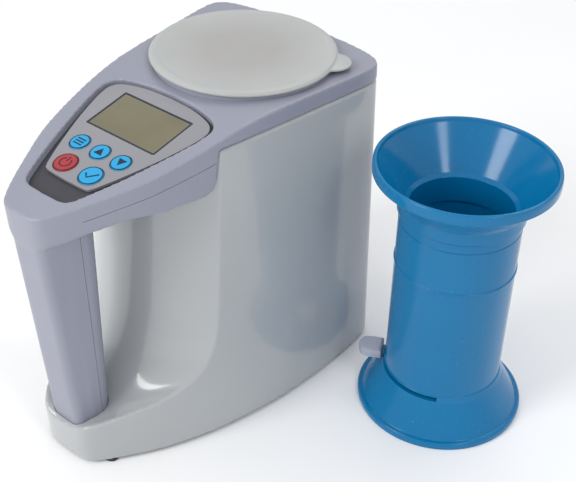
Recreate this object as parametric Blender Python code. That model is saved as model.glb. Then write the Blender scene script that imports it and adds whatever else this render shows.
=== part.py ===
"""Grain moisture meter with its filling cup, as separate solids in one frame.

The meter is a tall casing on a base plate. A cover with a forward arm closes its top, and the arm
runs down into a handle post, so that a hand passes between the post and the casing. Grain falls
through the round mouth into a measuring cell that hangs on a load cell. The filling cup stands
beside the meter: a funnel on a barrel, with a rotary gate that a lever swings open.

Every length in this file is in millimetres and every angle in degrees; place() turns them into
metres. The meter's own axes: +Z up along the cell's axis, -Y towards the handle, +X to its right.
"""

import math

import bmesh
import bpy
from mathutils import Matrix, Vector

MM = 0.001
GAP = 0.3            # clearance between pieces that would touch
SLIVER = 0.002       # edges shorter than this are collapsed

# Casing and cover
BODY_BOTTOM = 2.5
BODY_TOP = 228.0
COVER_TOP = 240.0
BODY_WALL = 3.0
COVER_WALL = 2.5
HULL_LOW = -20.0     # construction solids start below the casing and end above the cover
HULL_HIGH = 262.0
FRONT_TOP = 212.0    # height of the cover's front edge
ARM_SLOPE = 11.3     # fall of the arm's top towards the handle
SLOPE_START = -38.0  # the top starts to fall here and has its full slope at SLOPE_END
SLOPE_END = -86.0
ARM_REAR = -88.0
ARM_UNDER = 199.4

# Bounds of the construction solids that cut the casing and the cover
FRONT = -260.0
REAR = 100.0
DEEP = -60.0
HIGH = 320.0
BROAD = 120.0

# Underside of the arm as (y, z), from in front of the handle to its rear end at the casing's top
ARM_NOSE = [
    (FRONT, 173), (-200, 188), (-187, 191.2), (-174, 195), (-160, 197.8), (-145, 199.2),
    (-125, ARM_UNDER)]
ARM_CORNER = [
    (-101, ARM_UNDER), (-96.3, 201), (-93, 204.5), (-91.5, 209), (-89.5, 222),
    (ARM_REAR, BODY_TOP)]

# Outline of the casing from the front middle round the right side to the rear middle
BASE_OUTLINE = [
    (0, -188.8), (12, -188.3), (19.5, -186.6), (25, -182.2), (34.4, -170), (47.8, -149),
    (58.6, -127), (67.8, -102), (75.2, -73.5), (81.0, -40), (83.8, 0), (83.6, 24), (82.0, 46),
    (78.5, 58), (69, 64.5), (40, 68), (0, 69.6)]
TOP_OUTLINE = [
    (0, -200.4), (9.5, -200.0), (14.5, -198.2), (18.5, -194), (25.8, -182.2), (36.8, -160.5),
    (47.6, -137), (55.8, -107), (61.2, -77), (66.4, -40), (71.6, 0), (75.0, 24), (77.0, 43.5),
    (74.8, 54.3), (63.5, 61.3), (38, 65.6), (0, 67.3)]
WIDEST = 83.8         # the casing's largest half width, at its foot
FOREMOST = -200.45    # the arm's nose
OUTLINE_STEPS = [1, 2, 2, 1, 1, 2, 2, 2, 2, 2, 1, 1, 2, 2, 1, 1]
HULL_LEVELS = [HULL_LOW, 40, 115, 190, HULL_HIGH]

# Hand space: its edge on the casing's flanks and its line in the middle, from the top to the front
HAND_EDGE = [
    (-84, 270), (-88.5, 214), (-93, 160), (-96.5, 118), (-99.5, 91), (-104, 76), (-111, 64),
    (-120, 56.5), (-135, 50.5), (-150, 46.5), (-163, 43.5), (-176, 40.5), (-190, 36.5), (-235, 25)]
HAND_MIDDLE = [
    (-112, 270), (-117, 214), (-121, 160), (-125, 118), (-128.5, 91), (-133.5, 72), (-140, 58),
    (-148, 48), (-157, 40.5), (-166, 36.5), (-173, 34.5), (-181, 33), (-190, 31), (-235, 21)]
HAND_LEAST_WIDTH = 24.0
HAND_COLUMNS = [-1.3, -1, -0.8, -0.57, -0.33, -0.11, 0.11, 0.33, 0.57, 0.8, 1, 1.3]

# Handle post
POST_BOTTOM = 8.0
POST_TOP = 206.0
POST_HALF_WIDTH = 18.5
POST_FRONT_HALF_WIDTH = 15.5
POST_FRONT_LOW = -185.0
POST_FRONT_HIGH = -199.6
POST_FRONT_RADIUS = 7.0
POST_REAR_RADIUS = 12.0
POST_REAR_LOW = -157.0
POST_REAR_HIGH = -153.5
POST_SEAM = -167.0
POST_LEVELS = [0, 70, 140]
POST_CLEARANCE = 0.35

# Control panel on the arm; its own axes: x across, y up the slope, z out of the surface
PANEL_Y = -105.0
PANEL_OUTLINE = [
    (0, 36.2), (22, 34.9), (40, 30.4), (47.2, 24), (48.1, 16), (46.4, 5), (41.2, -15), (32.4, -43),
    (23.2, -67), (19, -73.6), (12.5, -75.9), (0, -76.6)]
OVERLAY_OUTLINE = [
    (0, 34.4), (21, 33.1), (38.6, 28.6), (44.8, 22.8), (45.6, 16), (43.6, 5), (37.8, -15),
    (28.8, -39), (23.6, -51), (21, -56), (17.2, -58.6), (0, -59.3)]
PANEL_DEPTH = 6.0
TRAY_TOP = -4.5
OVERLAY_TOP = -2.4
OVERLAY_THICKNESS = 1.8
LCD_SIZE = (61.6, 36.2)
LCD_Y = 5.0
LCD_SINK = 0.2        # the lens lies this far below the overlay's surface
LCD_MODULE = (72.0, 46.0, 4.4)
LCD_MODULE_TOP = -9.0
KEY_BOARD_Z = (-16.0, -14.4)
SMALL_KEY_R = 6.9
LARGE_KEY_R = 8.1
KEY_TOP = -1.6
KEYS = {             # name: (x, y, radius, colour)
    "key_menu": (-18.8, -29.5, SMALL_KEY_R, "key_blue"),
    "key_up": (0.0, -29.5, SMALL_KEY_R, "key_blue"),
    "key_down": (18.8, -29.5, SMALL_KEY_R, "key_blue"),
    "key_power": (-11.6, -48.3, LARGE_KEY_R, "key_red"),
    "key_ok": (11.6, -48.3, LARGE_KEY_R, "key_blue"),
}

# Mouth, lid and measuring cell
MOUTH_HOLE_R = 63.6
SEAT_Z = 233.0
SEAT_R = 61.5
COLLAR_R = 63.3
COLLAR_TOP = 242.4
LID_R = 65.0
LID_FLANGE_Z = 242.8
LID_TAB_ANGLE = 26.5
LID_TAB_CENTRE = 62.8
LID_TAB_R = 12.6
LID_TAB_FILLET = 4.0
CELL_R = 40.0
CELL_WALL = 2.0
CELL_BOTTOM = 72.0
CELL_TOP = 205.3
ROD_R = 9.0
ROD_TOP = 186.0

# Battery bay in the base
AA_R = 7.1
AA_LENGTH = 50.0
AA_PITCH = 15.0
BAY_Y = -112.0
BAY_FLOOR = 7.0
BAY_HALF_WIDTH = AA_PITCH * 2 + 1.5
BAY_HALF_LENGTH = AA_LENGTH / 2 + 6

# Load cell under the measuring cell
LOAD_CELL_Z = (44.0, 58.0)
LOAD_CELL_SCREW = (0, 30)
LOAD_CELL_BOSS = (0, -30)
PROBE = (22, 14)

# Filling cup
CUP_X = 163.6
CUP_Y = 36.6
CUP_RIM_R = 62.3
CUP_TOP = 204.6
CUP_FOOT_R = 61.0
BARREL_R = 42.1
BARREL_TOP = 160.6
SPIGOT_BOTTOM = 150.0
BARREL_BORE_R = 38.0
GATE_BORE_R = 39.2
GATE_LEDGE_Z = 36.3
LEVER_ANGLE = -153.0
LEVER_TRAVEL = 85.0
LEVER_NECK = 9.0
OPENING_HALF_ANGLE = 42.0
VANE_HALF_ANGLE = 44.0

# The frame's origin is at the middle of the whole object's footprint
MID_X = (CUP_X + CUP_RIM_R - WIDEST) / 2
MID_Y = (CUP_Y + CUP_RIM_R + FOREMOST) / 2

ROUND = 40           # segments of the large turned pieces
SMALL_ROUND = 12
KEY_ROUND = 16


# ---------------------------------------------------------------- meshes

def mesh_of(bm):
    bmesh.ops.recalc_face_normals(bm, faces=bm.faces)
    bmesh.ops.triangulate(bm, faces=bm.faces)
    mesh = bpy.data.meshes.new("solid")
    bm.to_mesh(mesh)
    bm.free()
    return mesh


def loft(rings):
    """A closed solid through rings of equally many points."""
    bm = bmesh.new()
    loops = [[bm.verts.new(point) for point in ring] for ring in rings]
    count = len(loops[0])
    for low, high in zip(loops, loops[1:]):
        for i in range(count):
            j = (i + 1) % count
            bm.faces.new((low[i], low[j], high[j], high[i]))
    bm.faces.new(list(reversed(loops[0])))
    bm.faces.new(loops[-1])
    return mesh_of(bm)


def prism(outline, low, high):
    return loft([[(x, y, z) for x, y in outline] for z in (low, high)])


def side_prism(outline, half_width):
    """An outline in the YZ plane, extruded both ways along X."""
    return loft([[(x, y, z) for y, z in outline] for x in (-half_width, half_width)])


def turned(profile, segments=ROUND, centre=(0.0, 0.0)):
    """A closed profile of (radius, z) turned about a vertical axis."""
    bm = bmesh.new()
    x, y = centre
    angles = [2 * math.pi * i / segments for i in range(segments)]
    loops = []
    for radius, z in profile:
        turns = angles if radius > 0 else [0]
        loops.append([bm.verts.new((x + radius * math.cos(a), y + radius * math.sin(a), z))
                      for a in turns])
    for upper, lower in zip(loops, loops[1:] + loops[:1]):
        if len(upper) == 1 and len(lower) == 1:
            continue
        for i in range(segments):
            j = (i + 1) % segments
            corners = [upper[i % len(upper)], upper[j % len(upper)], lower[j % len(lower)],
                       lower[i % len(lower)]]
            bm.faces.new(list(dict.fromkeys(corners)))
    return mesh_of(bm)


def cylinder(radius, low, high, centre=(0.0, 0.0), segments=SMALL_ROUND):
    return turned([(0, high), (radius, high), (radius, low), (0, low)], segments, centre)


def box(x, y, z):
    return prism([(x[0], y[0]), (x[1], y[0]), (x[1], y[1]), (x[0], y[1])], *z)


def moved(mesh, matrix):
    mesh.transform(matrix)
    return mesh


def combine(operation, body, *others):
    """The body with each of the other meshes cut away, added or intersected."""
    for other in others:
        target = bpy.data.objects.new("target", body)
        tool = bpy.data.objects.new("tool", other)
        for item in (target, tool):
            bpy.context.scene.collection.objects.link(item)
        modifier = target.modifiers.new("combine", "BOOLEAN")
        modifier.operation = operation
        modifier.solver = "EXACT"
        modifier.object = tool
        evaluated = target.evaluated_get(bpy.context.evaluated_depsgraph_get())
        result = bpy.data.meshes.new_from_object(evaluated)
        for item in (target, tool):
            mesh = item.data
            bpy.data.objects.remove(item)
            bpy.data.meshes.remove(mesh)
        body = result
    return body


def cut(body, *tools):
    return combine("DIFFERENCE", body, *tools)


def joined(body, *others):
    return combine("UNION", body, *others)


def common(body, *others):
    return combine("INTERSECT", body, *others)


def cleaned(mesh):
    """Triangulates and collapses the shortest edges that the cuts leave."""
    bm = bmesh.new()
    bm.from_mesh(mesh)
    bmesh.ops.triangulate(bm, faces=bm.faces)
    short = [edge for edge in bm.edges if edge.calc_length() < SLIVER]
    bmesh.ops.collapse(bm, edges=short)
    bm.to_mesh(mesh)
    bm.free()
    return mesh


def spline(points, steps):
    """Catmull-Rom samples through the points, with the given count in each span."""
    if isinstance(steps, int):
        steps = [steps] * (len(points) - 1)
    first = tuple(2 * a - b for a, b in zip(points[0], points[1]))
    last = tuple(2 * a - b for a, b in zip(points[-1], points[-2]))
    padded = [first] + list(points) + [last]
    samples = []
    for i, count in enumerate(steps):
        p0, p1, p2, p3 = padded[i:i + 4]
        for k in range(count):
            t = k / count
            samples.append(tuple(
                0.5 * (2 * b + (c - a) * t + (2 * a - 5 * b + 4 * c - d) * t * t
                       + (3 * b - a - 3 * c + d) * t ** 3)
                for a, b, c, d in zip(p0, p1, p2, p3)))
    samples.append(tuple(points[-1]))
    return samples


def mirrored_outline(half):
    """Closes a right-hand half outline that starts and ends on the middle plane."""
    return half + [(-x, y) for x, y in reversed(half[1:-1])]


def inset(outline, distance):
    """A closed anticlockwise outline moved inwards by a distance, or outwards if it is negative."""
    moved_points = []
    for i, (x, y) in enumerate(outline):
        before = outline[i - 1]
        after = outline[(i + 1) % len(outline)]
        along = Vector((after[0] - before[0], after[1] - before[1])).normalized()
        moved_points.append((x - along.y * distance, y + along.x * distance))
    return moved_points


def offset_curve(points, distance):
    """An open curve moved to its left by a distance."""
    result = []
    for i, (y, z) in enumerate(points):
        before = points[max(i - 1, 0)]
        after = points[min(i + 1, len(points) - 1)]
        along = Vector((after[0] - before[0], after[1] - before[1])).normalized()
        result.append((y - along.y * distance, z + along.x * distance))
    return result


# ---------------------------------------------------------------- shape of the meter

def hull_ring(z, inward=0.0):
    across = z / COVER_TOP
    along = z / FRONT_TOP
    low = spline(BASE_OUTLINE, OUTLINE_STEPS)
    high = spline(TOP_OUTLINE, OUTLINE_STEPS)
    half = [(xb + (xt - xb) * across, yb + (yt - yb) * along)
            for (xb, yb), (xt, yt) in zip(low, high)]
    outline = mirrored_outline(half)
    return [(x, y, z) for x, y in (inset(outline, inward) if inward else outline)]


def hull(inward=0.0, low=HULL_LOW, high=HULL_HIGH):
    levels = [low] + [z for z in HULL_LEVELS if low < z < high] + [high]
    return loft([hull_ring(z, inward) for z in levels])


def half_width(y, z):
    """The casing's half width at a place on its side."""
    ring = hull_ring(z)[:sum(OUTLINE_STEPS) + 1]
    for (xa, ya, _), (xb, yb, _) in zip(ring, ring[1:]):
        if ya <= y <= yb:
            return xa + (xb - xa) * (y - ya) / max(yb - ya, 1e-6)
    return ring[1][0]


def hand_space(clearance=0.0):
    """Everything in front of the casing's wall and above the toe; clearance pushes it into them."""
    edge = offset_curve(HAND_EDGE, clearance)
    middle = offset_curve(HAND_MIDDLE, clearance)
    widths = [half_width(y, z) for y, z in HAND_EDGE]
    rings = []
    for column in HAND_COLUMNS:
        share = min(column * column, 1.0)
        ring = []
        for (ye, ze), (ym, zm), width in zip(edge, middle, widths):
            reach = column * max(width, HAND_LEAST_WIDTH)
            ring.append((reach, ym + (ye - ym) * share, zm + (ze - zm) * share))
        first, last = ring[0], ring[-1]
        ring += [(last[0], FRONT, last[2]), (last[0], FRONT, HIGH), (first[0], FRONT, HIGH),
                 (first[0], first[1], HIGH)]
        rings.append(ring)
    return loft(rings)


def top_height(y):
    """Height of the cover's top surface."""
    fall = math.tan(math.radians(ARM_SLOPE))
    if y > SLOPE_START:
        return COVER_TOP
    if y > SLOPE_END:
        return COVER_TOP - fall * (SLOPE_START - y) ** 2 / (2 * (SLOPE_START - SLOPE_END))
    return top_height(SLOPE_END + 1e-6) - fall * (SLOPE_END - y)


def above_top(lower=0.0):
    """Everything above the cover's top surface, moved down by a distance."""
    bend = [SLOPE_START + (SLOPE_END - SLOPE_START) * i / 6 for i in range(7)]
    line = [(y, top_height(y) - lower) for y in [REAR] + bend + [FRONT]]
    return side_prism(line + [(FRONT, HIGH), (REAR, HIGH)], BROAD)


def arm_line(lift):
    """Underside of the arm from the handle backwards, then up its rear end to the casing's top."""
    level = len(ARM_NOSE) + 1
    return [(y - (lift if i >= level else 0), z + (lift if i <= level + 2 else 0))
            for i, (y, z) in enumerate(ARM_NOSE + ARM_CORNER)]


def below_cover():
    """Everything under the cover's lower edge."""
    line = arm_line(GAP)
    line[-1] = (line[-1][0], BODY_TOP + GAP)
    return side_prism(line + [(REAR, BODY_TOP + GAP), (REAR, DEEP), (FRONT, DEEP)], BROAD)


def arm_zone():
    """The room that the arm takes from the casing's upper front."""
    return side_prism(arm_line(0.0) + [(ARM_REAR, HIGH), (FRONT, HIGH)], BROAD)


def arc(centre, radius, start, end, steps):
    angles = [math.radians(start + (end - start) * i / steps) for i in range(steps + 1)]
    return [(centre[0] + radius * math.cos(a), centre[1] + radius * math.sin(a)) for a in angles]


def post_ring(z, inward=0.0):
    share = (z - POST_BOTTOM) / (POST_TOP - POST_BOTTOM)
    front = POST_FRONT_LOW + (POST_FRONT_HIGH - POST_FRONT_LOW) * share
    rear = POST_REAR_LOW + (POST_REAR_HIGH - POST_REAR_LOW) * share
    rounding = POST_FRONT_RADIUS
    corner = arc((POST_FRONT_HALF_WIDTH - rounding, front + rounding), rounding, -90, -12, 4)
    back = arc((POST_HALF_WIDTH - POST_REAR_RADIUS, rear - POST_REAR_RADIUS), POST_REAR_RADIUS, 4, 86, 5)
    side = ((corner[-1][0] + back[0][0]) / 2 + 0.4, (corner[-1][1] + back[0][1]) / 2)
    half = [(0, front)] + corner + [side] + back + [(0, rear)]
    outline = mirrored_outline(half)
    return [(x, y, z) for x, y in (inset(outline, inward) if inward else outline)]


def post(inward=0.0, low=POST_BOTTOM, high=POST_TOP):
    levels = [low] + [z for z in POST_LEVELS if low < z < high] + [high]
    return loft([post_ring(z, inward) for z in levels])


def panel_matrix():
    tilt = Matrix.Rotation(math.radians(ARM_SLOPE), 4, "X")
    return Matrix.Translation((0, PANEL_Y, top_height(PANEL_Y))) @ tilt


def on_panel(mesh):
    return moved(mesh, panel_matrix())


def panel_outline(inward=0.0):
    return inset(mirrored_outline(PANEL_OUTLINE[::-1]), inward)


def lcd_window(grow, low, high):
    half_x = LCD_SIZE[0] / 2 + grow
    half_y = LCD_SIZE[1] / 2 + grow
    return box((-half_x, half_x), (LCD_Y - half_y, LCD_Y + half_y), (low, high))


def key_holes(grow, low, high):
    return [cylinder(radius + grow, low, high, (x, y)) for x, y, radius, _ in KEYS.values()]


# ---------------------------------------------------------------- materials and objects

COLOURS = {          # name: (red, green, blue, roughness, metallic)
    "pearl_white": (0.55, 0.58, 0.60, 0.25, 0.0),
    "lilac_grey": (0.37, 0.38, 0.45, 0.35, 0.0),
    "milky_lid": (0.50, 0.52, 0.51, 0.40, 0.0),
    "dark_tray": (0.09, 0.09, 0.10, 0.40, 0.0),
    "silver_overlay": (0.40, 0.40, 0.43, 0.40, 0.2),
    "lcd_glass": (0.20, 0.18, 0.13, 0.10, 0.0),
    "key_blue": (0.02, 0.35, 0.65, 0.35, 0.0),
    "key_red": (0.38, 0.05, 0.06, 0.35, 0.0),
    "cup_blue": (0.03, 0.19, 0.48, 0.30, 0.0),
    "lever_white": (0.45, 0.48, 0.52, 0.40, 0.0),
    "inner_white": (0.75, 0.75, 0.72, 0.45, 0.0),
    "dark_plastic": (0.05, 0.05, 0.055, 0.50, 0.0),
    "rubber": (0.03, 0.03, 0.03, 0.80, 0.0),
    "steel": (0.55, 0.56, 0.58, 0.30, 1.0),
    "aluminium": (0.65, 0.66, 0.68, 0.35, 1.0),
    "board_green": (0.02, 0.16, 0.07, 0.45, 0.0),
    "battery_case": (0.25, 0.25, 0.27, 0.35, 0.3),
}


def material(name):
    found = bpy.data.materials.get(name)
    if found:
        return found
    red, green, blue, roughness, metallic = COLOURS[name]
    made = bpy.data.materials.new(name)
    made.use_nodes = True
    shader = made.node_tree.nodes["Principled BSDF"]
    shader.inputs["Base Color"].default_value = (red, green, blue, 1)
    shader.inputs["Roughness"].default_value = roughness
    shader.inputs["Metallic"].default_value = metallic
    return made


def empty(name, location, tilt=0.0, parent=None):
    made = bpy.data.objects.new(name, None)
    bpy.context.scene.collection.objects.link(made)
    made.location = [value * MM for value in location]
    made.rotation_euler = (math.radians(tilt), 0, 0)
    made.parent = parent
    return made


def place(name, mesh, colour, parent, origin=(0, 0, 0)):
    """Puts a millimetre mesh, given in its parent's axes, into the scene as a metre object."""
    mesh.transform(Matrix.Scale(MM, 4) @ Matrix.Translation([-value for value in origin]))
    mesh.name = name
    mesh.materials.clear()
    mesh.materials.append(material(colour))
    mesh.shade_smooth()
    mesh.set_sharp_from_angle(angle=math.radians(32))
    made = bpy.data.objects.new(name, mesh)
    bpy.context.scene.collection.objects.link(made)
    made.parent = parent
    made.location = [value * MM for value in origin]
    return made


# ---------------------------------------------------------------- casing, cover and handle

BOSS_POINTS = [5, 9, 14]      # the outline's points that have a screw boss beside them
BOSS_INSET = 8.0
BOSS_R = 5.6
PILOT_R = 1.7


def boss_places():
    ring = [(x, y) for x, y, _ in hull_ring(BODY_BOTTOM, BOSS_INSET)]
    right = [ring[sum(OUTLINE_STEPS[:point])] for point in BOSS_POINTS]
    return right + [(-x, y) for x, y in right]


def main_shell(meter):
    body = hull(low=BODY_BOTTOM, high=BODY_TOP)
    body = cut(body, hand_space(), arm_zone())
    room = cut(hull(BODY_WALL), hand_space(BODY_WALL))
    body = cut(body, room)
    body = joined(body, *[cylinder(BOSS_R, 5.2, 24, place_xy) for place_xy in boss_places()])
    body = cut(body, *[cylinder(PILOT_R, 0, 20, place_xy, 8) for place_xy in boss_places()])
    body = cut(body, post(-POST_CLEARANCE, low=-10))
    place("main_shell", cleaned(body), "pearl_white", meter)


def handle_solid():
    outer = cut(hull(low=150), above_top(), below_cover())
    outer = joined(outer, post())
    room = cut(hull(COVER_WALL, low=120), above_top(COVER_WALL))
    level = len(ARM_NOSE) + 1
    floor_line = [(y, z + COVER_WALL) for y, z in arm_line(GAP)[:level]]
    floor_line += [(SLOPE_END, ARM_UNDER + GAP + COVER_WALL), (SLOPE_END, 0), (FRONT, 0)]
    room = cut(room, side_prism(floor_line, BROAD))
    tub = prism(panel_outline(-COVER_WALL), -PANEL_DEPTH - COVER_WALL, 40)
    room = cut(room, on_panel(tub))
    return cut(outer, room, post(COVER_WALL, low=0, high=POST_TOP - 1))


def rear_half_zone(grow):
    """The back of the post and the floor of the arm, between the cover's side walls."""
    top = ARM_UNDER + GAP + COVER_WALL + 0.1 + grow
    seam = POST_SEAM - grow
    line = [(seam, HULL_LOW), (seam - 3, 186), (seam + 4, 197), (-158, top), (-60, top),
            (-60, HULL_LOW)]
    return common(hull(COVER_WALL + GAP - grow, low=-40), side_prism(line, BROAD))


def top_cover_and_handle_back(meter):
    shell = handle_solid()
    shell_copy = shell.copy()
    cover = cut(shell, rear_half_zone(GAP))
    cover = cut(cover, on_panel(prism(panel_outline(), -PANEL_DEPTH, 40)))
    cover = cut(cover, on_panel(lcd_window(0.5, -20, 20)))
    cover = cut(cover, *[on_panel(hole) for hole in key_holes(0.5, -20, 20)])
    cover = cut(cover, cylinder(MOUTH_HOLE_R, 200, 270, segments=ROUND))
    place("top_cover", cleaned(cover), "lilac_grey", meter)
    back = common(shell_copy, rear_half_zone(0.0), hand_space(BODY_WALL))
    place("handle_back_cover", cleaned(back), "lilac_grey", meter)


def mouth_ring(meter):
    profile = [
        (COLLAR_R, COLLAR_TOP), (COLLAR_R, 229.4), (62.4, 228.3), (62.4, 224.5), (44.0, 206.6),
        (41.5, 206.6), (41.5, 208.6), (58.0, 231.6), (58.0, SEAT_Z), (SEAT_R, SEAT_Z),
        (SEAT_R, COLLAR_TOP)]
    place("mouth_ring", turned(profile), "lilac_grey", meter)


def lid_tab():
    """Round thumb tab on the lid's rim, with a hollow fillet on either side."""
    centre = Vector((LID_TAB_CENTRE, 0))
    reach = LID_R + LID_TAB_FILLET
    spread = LID_TAB_R + LID_TAB_FILLET
    along = (reach ** 2 - spread ** 2 + centre.x ** 2) / (2 * centre.x)
    hollow = Vector((along, math.sqrt(reach ** 2 - along ** 2)))
    toward_tab = math.degrees(math.atan2(*reversed(centre - hollow)))
    toward_lid = math.degrees(math.atan2(*reversed(-hollow)))
    side = arc(hollow, LID_TAB_FILLET, toward_tab, toward_lid, 3)
    edge = math.degrees(math.atan2(*reversed(hollow - centre)))
    outline = [(x, -y) for x, y in reversed(side)]
    outline += arc(centre, LID_TAB_R, -edge, edge, 12)[1:-1] + side
    return outline + [(0.95 * side[-1][0], 0.95 * y) for y in (side[-1][1], -side[-1][1])]


def lid(meter):
    skirt_r = SEAT_R - 0.4
    profile = [
        (0, 246.1), (40, 246.0), (57, 245.7), (62.4, 245.2), (64.4, 244.5), (LID_R, 243.6),
        (LID_R, 243.2), (LID_R - 0.4, LID_FLANGE_Z), (skirt_r, LID_FLANGE_Z), (skirt_r, 236.6),
        (59.4, 236.6), (59.4, 243.0), (57, 243.6), (40, 243.9), (0, 244.0)]
    tab = prism(lid_tab(), LID_FLANGE_Z + 0.1, 244.4)
    tab = moved(tab, Matrix.Rotation(math.radians(LID_TAB_ANGLE), 4, "Z"))
    place("lid", cleaned(joined(turned(profile), tab)), "milky_lid", meter)


# ---------------------------------------------------------------- base and battery bay

def base_plate(meter):
    outline = [(x, y) for x, y, _ in hull_ring(BODY_BOTTOM, BODY_WALL + GAP)]
    plate = prism(outline, BODY_BOTTOM + 0.1, 4.9)
    half = BAY_HALF_WIDTH
    bay = (BAY_Y - BAY_HALF_LENGTH, BAY_Y + BAY_HALF_LENGTH)
    rim = box((-half - 2, half + 2), (bay[0] - 2, bay[1] + 2), (4, 18))
    plate = joined(plate, rim, cylinder(8, 4, LOAD_CELL_Z[0] - GAP, LOAD_CELL_SCREW))
    plate = cut(plate, box((-half, half), bay, (0, 30)))
    plate = cut(plate, *[cylinder(PILOT_R, 0, 9, place_xy, 8) for place_xy in boss_places()])
    plate = cut(plate, *[cylinder(3.4, 0, 3.6, place_xy) for place_xy in boss_places()])
    plate = cut(plate, cylinder(PILOT_R, 0, 60, LOAD_CELL_SCREW, 8))
    place("base_plate", cleaned(plate), "dark_plastic", meter)


FEET = [(27, -171), (-27, -171), (60, 56), (-60, 56)]
FOOT_PROFILE = [(0, 2.3), (5, 2.3), (5.4, 1.6), (5.4, 0.5), (5.0, 0), (0, 0)]


def feet(meter):
    for index, place_xy in enumerate(FEET):
        place("rubber_foot_%d" % (index + 1), turned(FOOT_PROFILE, SMALL_ROUND, place_xy), "rubber", meter)


def screw(place_xy, head_bottom, head_r, shank_r, length):
    """A pan-head screw that points up."""
    top = head_bottom + length
    under = head_bottom + 1.0
    profile = [(0, top), (shank_r * 0.5, top), (shank_r, top - 1.2), (shank_r, under), (head_r, under),
               (head_r, head_bottom + 0.3), (head_r * 0.7, head_bottom), (0, head_bottom)]
    return turned(profile, 10, place_xy)


def base_screws(meter):
    for index, place_xy in enumerate(boss_places()):
        place("base_screw_%d" % (index + 1), screw(place_xy, 2.3, 3.0, 1.35, 15), "steel", meter)


def battery_door(meter):
    half = BAY_HALF_WIDTH - GAP
    y_low = BAY_Y - BAY_HALF_LENGTH + GAP
    y_high = BAY_Y + BAY_HALF_LENGTH - GAP
    door = box((-half, half), (y_low, y_high), (BODY_BOTTOM + 0.1, 4.9))
    grooves = [box((-12, 12), (y_low + 5 + 3 * i, y_low + 6.4 + 3 * i), (2, 3.2)) for i in range(4)]
    place("battery_door", cleaned(cut(door, *grooves)), "dark_plastic", meter, (0, BAY_Y, BODY_BOTTOM))


def battery(meter, index):
    x = (index - 1.5) * AA_PITCH
    end = AA_LENGTH / 2
    profile = [(0, end), (2.6, end), (2.6, end - 1.4), (AA_R, end - 1.4), (AA_R, 0.3 - end),
               (5.5, -end), (0, -end)]
    flip = Matrix.Rotation(math.radians(90 if index % 2 else -90), 4, "X")
    seat = Matrix.Translation((x, BAY_Y, BAY_FLOOR + AA_R))
    place("battery_%d" % (index + 1), moved(turned(profile, SMALL_ROUND), seat @ flip),
          "battery_case", meter)


def contact_spring():
    """A conical spring, as stacked turns that narrow away from its sheet."""
    profile = [(0, 0), (5.4, 0), (5.4, 0.4)]
    for coil in range(3):
        radius = 4.6 - coil * 0.9
        middle = 1.0 + coil * 1.4
        profile += [(radius - 0.5, middle - 0.45), (radius + 0.4, middle), (radius - 0.5, middle + 0.45)]
    return turned(profile + [(0, 4.6)], SMALL_ROUND)


CONTACTS = {         # name: (which end of the bay, the cells that it joins)
    "contact_front_left": (-1, (0, 1)),
    "contact_front_right": (-1, (2, 3)),
    "contact_rear_left": (1, (0,)),
    "contact_rear_middle": (1, (1, 2)),
    "contact_rear_right": (1, (3,)),
}


def battery_contacts(meter):
    """Sheets at the ends of the bay, with a spring for each flat end and a pad for each button."""
    height = BAY_FLOOR + AA_R
    for name, (end, cells) in CONTACTS.items():
        wall = BAY_Y + end * (BAY_HALF_LENGTH - 0.4)
        places = [(index - 1.5) * AA_PITCH for index in cells]
        sheet_y = sorted((wall, wall - end * 0.5))
        sheet = box((places[0] - 5.5, places[-1] + 5.5), sheet_y, (height - 5.5, height + 5.5))
        for index, x in zip(cells, places):
            button_end = -1 if index % 2 else 1
            if button_end == end:
                reach = sorted((wall - end * 0.2, wall - end * 5.2))
                pad = box((x - 3, x + 3), reach, (height - 3, height + 3))
            else:
                turn = Matrix.Rotation(math.radians(90 * end), 4, "X")
                pad = moved(contact_spring(), Matrix.Translation((x, wall - end * 0.2, height)) @ turn)
            sheet = joined(sheet, pad)
        place(name, cleaned(sheet), "steel", meter)


# ---------------------------------------------------------------- measuring cell and electronics

def outer_electrode(meter):
    inner, outer = CELL_R, CELL_R + CELL_WALL
    profile = [(outer, CELL_TOP), (outer, CELL_BOTTOM + GAP), (inner, CELL_BOTTOM + GAP), (inner, CELL_TOP)]
    place("outer_electrode", turned(profile), "aluminium", meter)


def centre_electrode(meter):
    profile = [(0, ROD_TOP + 12), (ROD_R, ROD_TOP), (ROD_R, CELL_BOTTOM + GAP), (0, CELL_BOTTOM + GAP)]
    place("centre_electrode", turned(profile, SMALL_ROUND), "aluminium", meter)


def cell_base(meter):
    inner = CELL_R + CELL_WALL + GAP
    rim_top = CELL_BOTTOM + 8
    profile = [(0, 66), (48, 66), (48, rim_top), (inner, rim_top), (inner, CELL_BOTTOM),
               (0, CELL_BOTTOM)]
    disc = joined(turned(profile), cylinder(8, LOAD_CELL_Z[1] + GAP, 67, LOAD_CELL_BOSS))
    disc = cut(disc, cylinder(2.3, 60, 80, PROBE, 16))
    place("cell_base", cleaned(disc), "inner_white", meter)


def load_cell(meter):
    middle = sum(LOAD_CELL_Z) / 2
    bar = box((-7, 7), (-40, 40), LOAD_CELL_Z)
    holes = []
    for y in (-9, 9):
        across = Matrix.Translation((0, y, middle)) @ Matrix.Rotation(math.pi / 2, 4, "Y")
        holes.append(moved(cylinder(5, -10, 10, segments=20), across))
    bar = cut(bar, *holes)
    bar = cut(bar, box((-8, 8), (-9, 9), (middle - 1.4, middle + 1.4)))
    bar = cut(bar, cylinder(PILOT_R, 40, 60, LOAD_CELL_SCREW, 8))
    place("load_cell", cleaned(bar), "aluminium", meter)


def load_cell_screw(meter):
    place("load_cell_screw", screw(LOAD_CELL_SCREW, 3.0, 1.6, 1.35, 52), "steel", meter)


def temperature_probe(meter):
    profile = [(0, 96), (1.2, 95), (2.0, 93), (2.0, 60.5), (0, 60.5)]
    place("temperature_probe", turned(profile, 16, PROBE), "steel", meter)


MAIN_BOARD_Y = -86.0


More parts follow.
